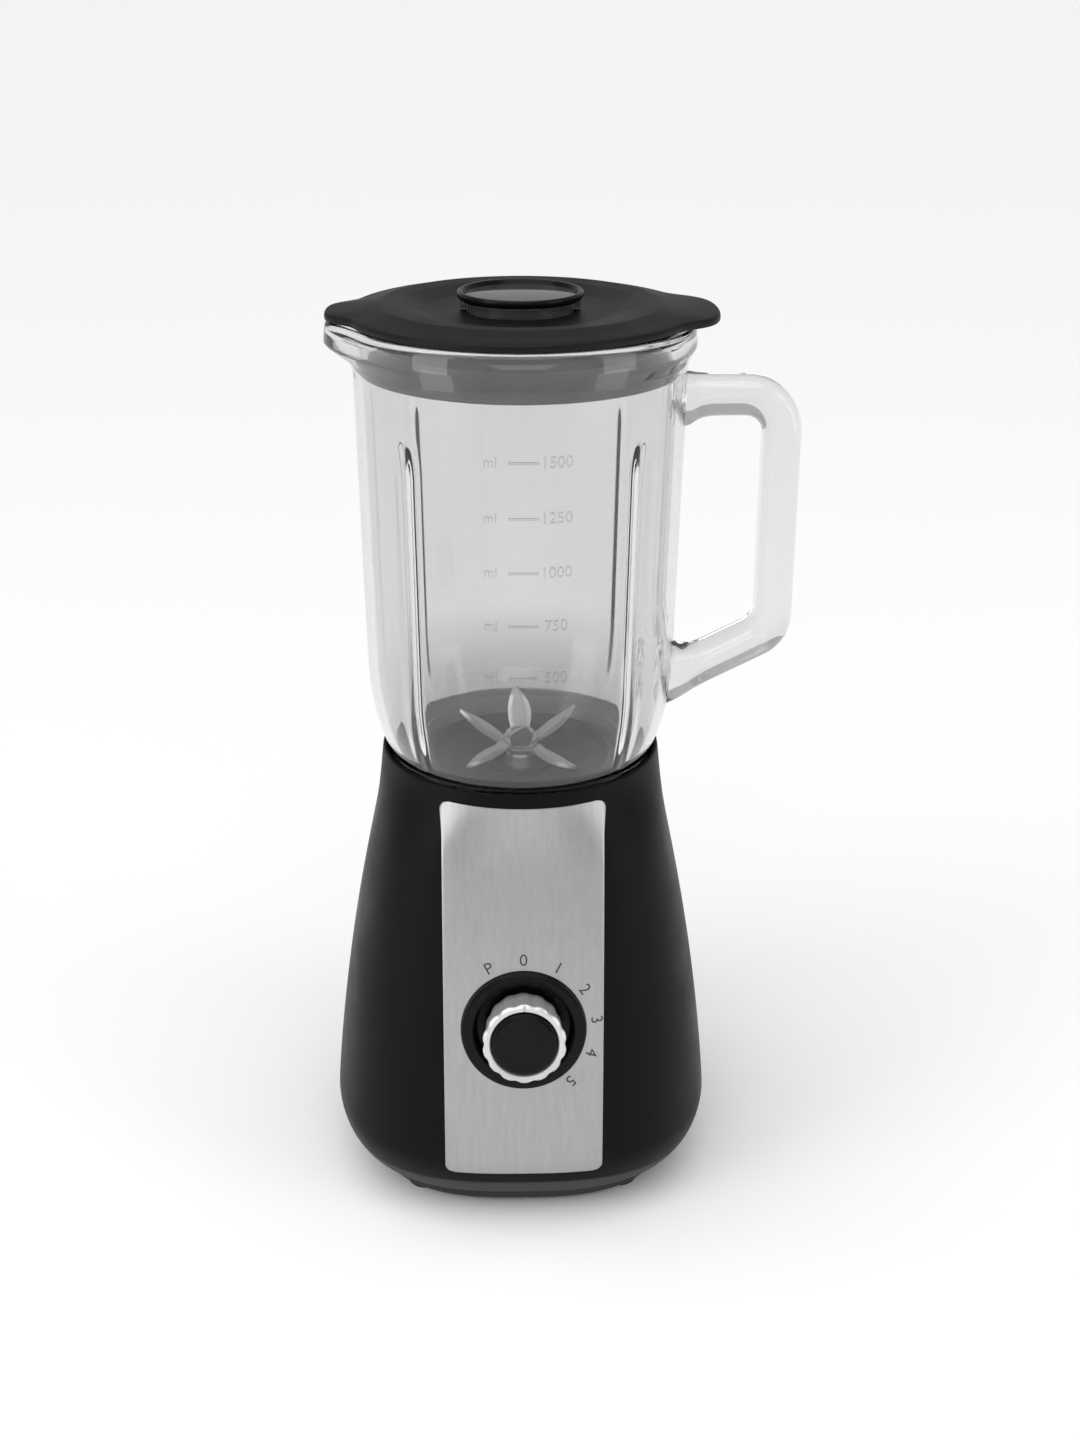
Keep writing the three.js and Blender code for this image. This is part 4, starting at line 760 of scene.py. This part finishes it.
def jar_shell():
    neck_top = nut_high[2] + 0.5
    foot = seat_low[2] + 3 + GAP + 2 + GAP
    heights = [mix(HEEL_Z, HEEL_Z + HEEL_HEIGHT, k / 16) for k in range(17)]
    heights += [mix(HEEL_Z + HEEL_HEIGHT, RIB_TOP - 16, k / 8) for k in range(1, 9)]
    heights += [mix(RIB_TOP - 14, BEAD_Z - 3, k / 12) for k in range(13)]
    outside = [(jar_at(z), z) for z in heights]
    outer_foot = [(NECK_R, foot, 1), (NECK_R, neck_top, 1.2), (WELL_R - 3, neck_top + 1, 2.5)]
    bead = [
        (JAR_TOP_R + 0.3, BEAD_Z - 1.5, 5), (BEAD_R, BEAD_Z + 3.6, 4.5), (BEAD_R - 1.0, JAR_RIM_Z, 3.2),
        (JAR_TOP_R - JAR_WALL + 1.6, JAR_RIM_Z, 1.8), (JAR_TOP_R - JAR_WALL + 0.8, BEAD_Z + 7, 5),
    ]
    inside = [(jar_at(z) - JAR_WALL, z) for z in reversed(heights[1:])]
    inner_foot = [
        (WELL_R - 7.5, HEEL_Z + 0.6, 3), (NECK_BORE_R + 1.5, seat_high[2] - 1.2, 2.5),
        (NECK_BORE_R, seat_high[2] - 3.5, 1), (NECK_BORE_R, foot, 1),
    ]
    bm = turned(rounded(outer_foot + outside + bead + inside + inner_foot), JAR_STEPS)
    return reshaped(reshaped(bm, crowded), jar_formed)


HANDLE_REACH = jar_high[0]
HANDLE_BAR = 16.2
HANDLE_HALF = 10.0
HANDLE_TOP_DROP = 23.4    # from the jar's rim down to the top of the handle
HANDLE_FOOT_DROP = 164.8  # to its lowest point, at the jar's wall
HANDLE_SHOULDER, HANDLE_ELBOW = 23, 20
HANDLE_SQUARENESS = 2.9
HANDLE_STEPS = 40         # points round a section
LOWER_SLOPE = math.tan(math.radians(27))


def sampled(points, counts):
    """Points along an outline of straight runs and filleted corners, a set number on each."""
    runs, last = [], Vector(points[0][:2])
    for i in range(1, len(points) - 1):
        here, fillet = Vector(points[i][:2]), points[i][2]
        before = (Vector(points[i - 1][:2]) - here).normalized()
        after = (Vector(points[i + 1][:2]) - here).normalized()
        half = before.angle(after) / 2
        reach = fillet / math.tan(half)
        centre = here + (before + after).normalized() * (fillet / math.sin(half))
        start, end = here + before * reach, here + after * reach
        runs.append([last.lerp(start, k / counts[0]) for k in range(counts[0])])
        runs.append([
            centre + (start - centre).slerp(end - centre, k / counts[1]).normalized() * fillet
            for k in range(counts[1])
        ])
        last = end
    finish = Vector(points[-1][:2])
    runs.append([last.lerp(finish, k / counts[0]) for k in range(counts[0] + 1)])
    return [point for run in runs for point in run]


def jar_handle():
    """The handle: round-cornered sections along its grip, flared where they run into the wall."""
    top = JAR_RIM_Z - HANDLE_TOP_DROP
    root = JAR_TOP_R - JAR_WALL

    def under(x):
        return JAR_RIM_Z - HANDLE_FOOT_DROP + (x - root) * LOWER_SLOPE

    def over(x):
        return under(x) + HANDLE_BAR / math.cos(math.atan(LOWER_SLOPE))

    grip = HANDLE_REACH - HANDLE_BAR
    outer = sampled([
        (66, top), (HANDLE_REACH, top, HANDLE_SHOULDER),
        (HANDLE_REACH, under(HANDLE_REACH), HANDLE_ELBOW), (61, under(61)),
    ], (16, 12))
    inner = sampled([
        (66, top - HANDLE_BAR), (grip, top - HANDLE_BAR, 8), (grip, over(grip), 9), (61, over(61)),
    ], (16, 12))
    rings, count = [], len(outer)
    for k, (far, near) in enumerate(zip(outer, inner)):
        middle, half = (far + near) / 2, (far - near) / 2
        away = max(0.0, middle.x - 68.0)
        flare = math.exp(-((away / 5.0) ** 1.5))
        half = half * (1 + 0.34 * flare)
        middle = middle - half.normalized() * (1.6 * flare)
        wide = HANDLE_HALF * (1 + 0.12 * flare)
        section = []
        for step in range(HANDLE_STEPS):
            turn = math.tau * step / HANDLE_STEPS
            across, along = math.cos(turn), math.sin(turn)
            spread = abs(across) ** HANDLE_SQUARENESS + abs(along) ** HANDLE_SQUARENESS
            spread **= 1 / HANDLE_SQUARENESS
            place = middle + half * (across / spread)
            section.append(Vector((place.x, wide * along / spread, place.y)))
        if k in (0, count - 1):
            for point in section:
                depth = jar_at(min(point.z, BEAD_Z - 5)) - 2.0
                point.x = math.sqrt(depth * depth - point.y * point.y)
        rings.append(section)
    bm = bmesh.new()
    verts = [[bm.verts.new(point * MM) for point in section] for section in rings]
    for one, two in zip(verts, verts[1:]):
        for i in range(HANDLE_STEPS):
            j = (i + 1) % HANDLE_STEPS
            bm.faces.new((one[i], one[j], two[j], two[i]))
    for loop in (verts[0], verts[-1]):
        centre = sum((vert.co for vert in loop), Vector()) / len(loop)
        depth = (jar_at(min(centre.z / MM, BEAD_Z - 5)) - 2.0) * MM
        hub = bm.verts.new((depth, 0, centre.z))
        for i in range(HANDLE_STEPS):
            bm.faces.new((loop[i], loop[(i + 1) % HANDLE_STEPS], hub))
    bmesh.ops.recalc_face_normals(bm, faces=bm.faces)
    return bm


def glass_jar():
    bm = combined(jar_shell(), "UNION", jar_handle())
    return piece("jar_glass", bm, "jar_glass", "jar", "glass_jar", sharp=60)


MARK_DROP = 130.5         # from the jar's rim down to the lowest mark
MARK_PITCH = 22.2
MARK_ASIDE = 13           # numbers and units, from the middle of their line
NUMBER_SIZE, UNIT_SIZE = 6.4, 5.6


def jar_marks():
    """Measuring marks raised on the front of the glass."""
    parts = []
    for i, volume in enumerate((500, 750, 1000, 1250, 1500)):
        z = JAR_RIM_Z - MARK_DROP + MARK_PITCH * i
        number = placed_flat(lettering(str(volume), NUMBER_SIZE, 0.5), MARK_ASIDE, z)
        unit = placed_flat(lettering("ml", UNIT_SIZE, 0.5), -MARK_ASIDE, z)
        line = prism([(-6, z - 0.45), (6, z - 0.45), (6, z + 0.45), (-6, z + 0.45)], -0.25, 0.25)
        parts += [number, unit, line]
    bm = joined(*parts)

    def wrapped(x, y, z):
        radius = jar_at(z) + 0.12 - y * 0.8
        turn = x / radius
        return radius * math.sin(turn), -radius * math.cos(turn), z

    bmesh.ops.subdivide_edges(bm, edges=[e for e in bm.edges if e.calc_length() > 2 * MM], cuts=2)
    reshaped(bm, wrapped)
    return piece("volume_marks", bm, "jar_glass", "jar")


def placed_flat(bm, x, z):
    """Stands lettering made in X and Y upright in X and Z."""
    return placed(tipped(bm, 1), x, 0, z)


NUT_LIP = 5.8
NUT_GRIPS = 36
NUT_GRIP_DEPTH = 0.7
SEAT_DISH_RISE = 21       # from the floor of the well
SEAT_WALL = 3.4


def jar_foot():
    """The nut that holds the blade unit in the jar, the blade seat and the shaft's boss."""
    outer = nut_high[0]
    inner = NECK_R + 0.5
    low, high = nut_low[2], nut_high[2]
    outline = [
        (inner - NUT_LIP, low, 0.6), (outer, low, 1.2), (outer, high, 0.8), (inner, high, 0.4),
        (inner, low + 3.2), (inner - NUT_LIP, low + 3.2, 0.4),
    ]
    bm = turned(rounded(outline), FINE)

    def gripped(x, y, z):
        radius = math.hypot(x, y)
        if radius < outer - 1 or z > high - 3:
            return x, y, z
        dip = NUT_GRIP_DEPTH * max(0.0, math.cos(NUT_GRIPS * math.atan2(y, x))) ** 4
        return x * (1 - dip / radius), y * (1 - dip / radius), z

    piece("jar_nut", reshaped(bm, gripped), "body_black", "jar", "jar_base_nut")

    plug = NECK_BORE_R - 0.5
    seat = seat_low[2]
    top = seat_high[2]
    dish = WELL_Z + SEAT_DISH_RISE
    bottom = bearing_low[2] - GAP
    outline = [
        (7.2, bottom), (10.8, bottom, 0.5), (10.8, dish - SEAT_WALL, 1),
        (plug - SEAT_WALL, dish - SEAT_WALL, 1), (plug - SEAT_WALL, seat),
        (NECK_R, seat, 0.5), (NECK_R, seat + 3, 0.5), (plug, seat + 3, 0.5), (plug, top - 1.4, 0.6),
        (plug - 1.6, top, 0.6), (plug - 3.6, top, 0.8), (plug - 6, dish + 2.4, 2),
        (plug - 13, dish + 1.6, 2), (14.5, dish + 0.5, 1), (13.6, dish + 1.1, 0.4),
        (10.2, dish + 1.1, 0.5), (9.4, dish, 0.5), (7.2, dish),
    ]
    piece("blade_seat_disc", turned(rounded(outline), FINE), "seat_plastic", "jar", "blade_seat")

    bore = 4.35
    top = bearing_high[2]
    outline = [
        (bore, bearing_low[2]), (6.9, bearing_low[2], 0.3), (6.9, dish + 0.5), (6.4, dish + 1.5),
        (6.4, top - 1.6, 2.6), (bore, top, 0.6),
    ]
    piece("shaft_boss", turned(rounded(outline), ROUND), "blade_steel", "jar", "blade_bearing")


# ---- Blades --------------------------------------------------------------------------------
BLADE_ROOT = 8.0
BLADE_SHEET = 1.5
BLADE_BORE_R = 4.3
BLADES_Z = WELL_Z + 28.6
BLADE_NUT_R = 6.2


def wing(azimuth, run, rise, width, z):
    """One wing of a blade, ground thin along its edges and bent at its root."""
    slope = math.atan2(rise, run - BLADE_ROOT)
    length = BLADE_ROOT + math.hypot(rise, run - BLADE_ROOT)
    bm = bmesh.new()
    bmesh.ops.create_grid(bm, x_segments=22, y_segments=8, size=0.5)
    reshaped(bm, lambda x, y, _: ((x * MM + 0.5) * length, y * MM * width, 0))
    bmesh.ops.solidify(bm, geom=bm.faces, thickness=BLADE_SHEET * MM)
    floor = min(vert.co.z for vert in bm.verts) / MM

    def bent(x, y, height):
        out = x - BLADE_ROOT
        along = max(0.0, out) / (length - BLADE_ROOT)
        edge = abs(y) / (width / 2)
        thick = (height - floor) * (1 - 0.75 * smoothstep(edge, 0.45, 1.0) * smoothstep(along, 0.0, 0.15))
        taper = 0.66 + 0.3 * math.sin(math.pi * along) - 0.62 * along ** 3
        y = y * (0.66 if out < 0 else taper) + along ** 3 * width * 0.2
        bend = slope * smoothstep(out, -1.5, 1.5)
        if out > 0:
            x = BLADE_ROOT + out * math.cos(bend) - thick * math.sin(bend)
            thick = out * math.sin(bend) + thick * math.cos(bend)
        return x, y, thick

    reshaped(bm, bent)
    bmesh.ops.recalc_face_normals(bm, faces=bm.faces)
    return placed(bm, 0, 0, z, math.radians(azimuth))


def blade(name, node, wings):
    step = ("blade_low", "blade_middle", "blade_high").index(node)
    level = BLADES_Z + step * (BLADE_SHEET + GAP)
    top = level + BLADE_SHEET
    outline = [(BLADE_BORE_R, level), (7.6, level, 0.3), (7.6, top, 0.3), (BLADE_BORE_R, top)]
    hub = turned(rounded(outline), SMALL)
    parts = [wing(*shape, level) for shape in wings]
    bm = combined(hub, "UNION", *parts)
    hole = placed(cylinder(BLADE_BORE_R, -3, 8, SMALL), 0, 0, level)
    bm = combined(bm, "DIFFERENCE", hole)
    return piece(name, bm, "blade_steel", "blades", node, sharp=30)


def blades():
    blade("blade_plate_low", "blade_low", [(150, 30, 11, 9.5), (330, 27, -6, 10)])
    blade("blade_plate_middle", "blade_middle", [(30, 30, 10, 9.5), (210, 28, -5, 10)])
    blade("blade_plate_high", "blade_high", [(90, 16, 19, 11.5), (270, 15, 12, 10.5)])
    low, high = node_box("blade_nut")
    hexagon = [
        (BLADE_NUT_R * math.cos(math.tau * k / 6), BLADE_NUT_R * math.sin(math.tau * k / 6), 0.5)
        for k in range(6)
    ]
    bm = prism(rounded(hexagon), -high[2], -low[2], bevel=0.3, segments=2)
    bm = combined(tipped(bm, -1), "DIFFERENCE", placed(cylinder(4.2, -8, 8, SMALL), 0, 0, high[2]))
    piece("blade_hub_nut", bm, "blade_steel", "blades", "blade_nut")
    low, high = node_box("blade_shaft")
    outline = [(0, low[2]), (4, low[2], 0.4), (4, high[2], 1.2), (0, high[2])]
    bm = turned(rounded(outline, closed=False), SMALL, closed=False)
    piece("blade_spindle", bm, "blade_steel", "blades", "blade_shaft")


# ---- Lid, seal and cup ---------------------------------------------------------------------
CUP_R = 21.8
SEAL_WALL = 3.6
SPOUT_EAR = (8.6, 13.5, 4)         # reach, spread in degrees, power
GRIP_EAR = (10.2, 22.0, 5)


def eared(x, y, z):
    """A small ear over the spout and a broad one on the handle side."""
    radius = math.hypot(x, y)
    edge = smoothstep(radius, BEAD_R - 14, LID_R)
    reach, spread, power = SPOUT_EAR if x < 0 else GRIP_EAR
    aside = math.degrees(math.atan2(y, abs(x))) / spread
    grow = reach * edge * math.exp(-abs(aside) ** power)
    return x * (1 + grow / radius), y * (1 + grow / radius), z


def lid():
    hole = CUP_R + 0.5
    skirt = seal_high[0] - SEAL_WALL - GAP
    crown = lid_high[2]
    outline = [
        (hole, LID_Z - 9, 0.4), (hole + 2.4, LID_Z - 9, 0.4), (hole + 2.4, LID_Z, 1),
        (skirt - 2.8, LID_Z, 1), (skirt - 2.8, LID_Z - 19, 0.6), (skirt, LID_Z - 19, 0.6), (skirt, LID_Z),
        (LID_R - 6, LID_Z), (LID_R, LID_Z + 0.3, 1.0), (LID_R, LID_Z + 3.4, 1.7),
        (LID_R - 7, LID_Z + 4.7, 12), (LID_R - 13.5, crown, 5), (LID_R - 21.5, crown - 0.6, 8),
        (LID_R * 0.54, LID_DISH_Z + 0.3, 10),
        (hole + 5, LID_DISH_Z), (hole, LID_DISH_Z, 0.5),
    ]
    bm = turned(rounded(outline, steps=7), 240)
    return piece("lid_shell", reshaped(bm, eared), "lid_black", "lid", "lid")


def lid_seal():
    outer = seal_high[0]
    inner = outer - SEAL_WALL
    foot, top = seal_low[2], seal_high[2]
    outline = [
        (inner, foot, 0.5), (outer - 0.3, foot, 1.2), (outer, foot + 2, 1.6), (outer - 0.5, foot + 5, 4),
        (outer - 0.5, top - 8, 3), (outer, top - 6.5, 1), (outer, top, 0.6), (inner, top),
    ]
    return piece("lid_seal_ring", turned(rounded(outline), FINE), "seal_grey", "lid", "lid_seal")


def measuring_cup():
    """The cup in smoky plastic, with a lug on each side, and its black rim."""
    rim = cup_high[0]
    top = cup_high[2]
    flange = top - 3.5
    floor = top - 1.6
    inner = CUP_R - 2
    mouth = cup_low[2]
    outline = [
        (0, floor - 2), (inner, floor - 2, 1.2), (inner, mouth, 0.5), (CUP_R, mouth, 0.5),
        (CUP_R, floor - 1), (22.5, floor, 0.3), (0, floor),
    ]
    bm = turned(rounded(outline, closed=False), FINE, closed=False)
    for side in (-1, 1):
        lug_foot, lug_top = LID_DISH_Z + 0.3, flange - 0.1
        section = [(-1.5, lug_foot, 0.4), (1.5, lug_foot, 0.4), (1.5, lug_top), (-1.5, lug_top)]
        lug = prism(rounded(section), -2.2, 2.2, bevel=0.4, segments=2)
        bm = combined(bm, "UNION", placed(lug, side * (CUP_R + 0.9)))
    piece("cup_clear", bm, "cup_smoke", "cup", "measuring_cup")
    outline = [
        (CUP_R + 0.05, flange, 0.3), (rim, flange, 1.7), (rim, top, 1.7), (23.5, top, 0.9),
        (22.6, floor + 0.1), (CUP_R + 0.05, floor - 0.9),
    ]
    piece("cup_rim", turned(rounded(outline), FINE), "gloss_black", "cup")


# ---- Hidden pieces keep their CAD shapes ---------------------------------------------------
def carry_over():
    for entry in frame["record"]["subparts"]:
        node = frame["nodes"][entry["node"]]
        node.data.materials.clear()
        node.data.materials.append(finishes[entry["material_slot"]])


# ---- Floor, lights and camera --------------------------------------------------------------
FLOOR_SIZE = 80
WORLD_LIGHT = 0.45
SUN_LIGHT, SUN_SPREAD = 1.75, 75


def studio():
    bpy.ops.mesh.primitive_plane_add(size=FLOOR_SIZE, location=(0, 0, 0))
    floor = bpy.context.object
    floor.name = "studio_floor"
    paper = Finish("studio_paper", (0.93, 0.93, 0.93), 0.9, Specular_IOR_Level=0.1)
    tooth = paper.pattern(600, detail=2)
    paper.bumped((tooth, 0.02, 0.1))
    floor.data.materials.append(paper.material)

    world = bpy.data.worlds.new("studio")
    world.use_nodes = True
    background = world.node_tree.nodes["Background"]
    background.inputs["Color"].default_value = (1, 1, 1, 1)
    background.inputs["Strength"].default_value = WORLD_LIGHT
    bpy.context.scene.world = world

    sky = bpy.data.lights.new("overhead", "SUN")
    sky.energy = SUN_LIGHT
    sky.angle = math.radians(SUN_SPREAD)
    obj = bpy.data.objects.new("overhead", sky)
    obj.rotation_euler = (math.radians(14), math.radians(-10), 0)
    bpy.context.scene.collection.objects.link(obj)
    softbox("left_box", (-1.5, -0.9, 0.7), (0, 0, 0.25), 0.8, 1.6, 9)
    softbox("right_box", (1.6, -0.8, 0.7), (0, 0, 0.25), 0.8, 1.6, 7)
    softbox("front_glow", (0, -0.8, 0.42), (0, -0.75, 0), 0.5, 0.3, 0.7)


def softbox(name, place, target, width, height, power):
    light = bpy.data.lights.new(name, "AREA")
    light.shape = "RECTANGLE"
    light.size = width
    light.size_y = height
    light.energy = power
    obj = bpy.data.objects.new(name, light)
    obj.location = place
    obj.rotation_euler = (Vector(target) - Vector(place)).to_track_quat("-Z", "Y").to_euler()
    bpy.context.scene.collection.objects.link(obj)


CAMERA_PITCH = 22.95      # degrees down
CAMERA_TURN = -1.1        # degrees round the drive axis, to the spout's side
CAMERA_BACK = 0.7872      # from the drive axis
CAMERA_HEIGHT = 0.5399
CAMERA_LENS = 48.75
CAMERA_SHIFT = 0.0137


def camera():
    data = bpy.data.cameras.new("camera")
    data.sensor_width = 36
    data.lens = CAMERA_LENS
    data.shift_x = CAMERA_SHIFT
    data.clip_start = 0.02
    obj = bpy.data.objects.new("camera", data)
    turn = math.radians(CAMERA_TURN)
    obj.location = (CAMERA_BACK * math.sin(turn), -CAMERA_BACK * math.cos(turn), CAMERA_HEIGHT)
    obj.rotation_euler = (math.radians(90 - CAMERA_PITCH), 0, turn)
    bpy.context.scene.collection.objects.link(obj)
    bpy.context.scene.camera = obj
    bpy.context.scene.view_settings.view_transform = "Standard"


camera()
carry_over()
base_housing()
dial_boss()
front_panel()
dial_numbers()
bottom_cover()
feet()
cord_gland()
knob_bezel()
knob_ring()
knob_cap()
glass_jar()
jar_marks()
jar_foot()
blades()
lid()
lid_seal()
measuring_cup()
studio()
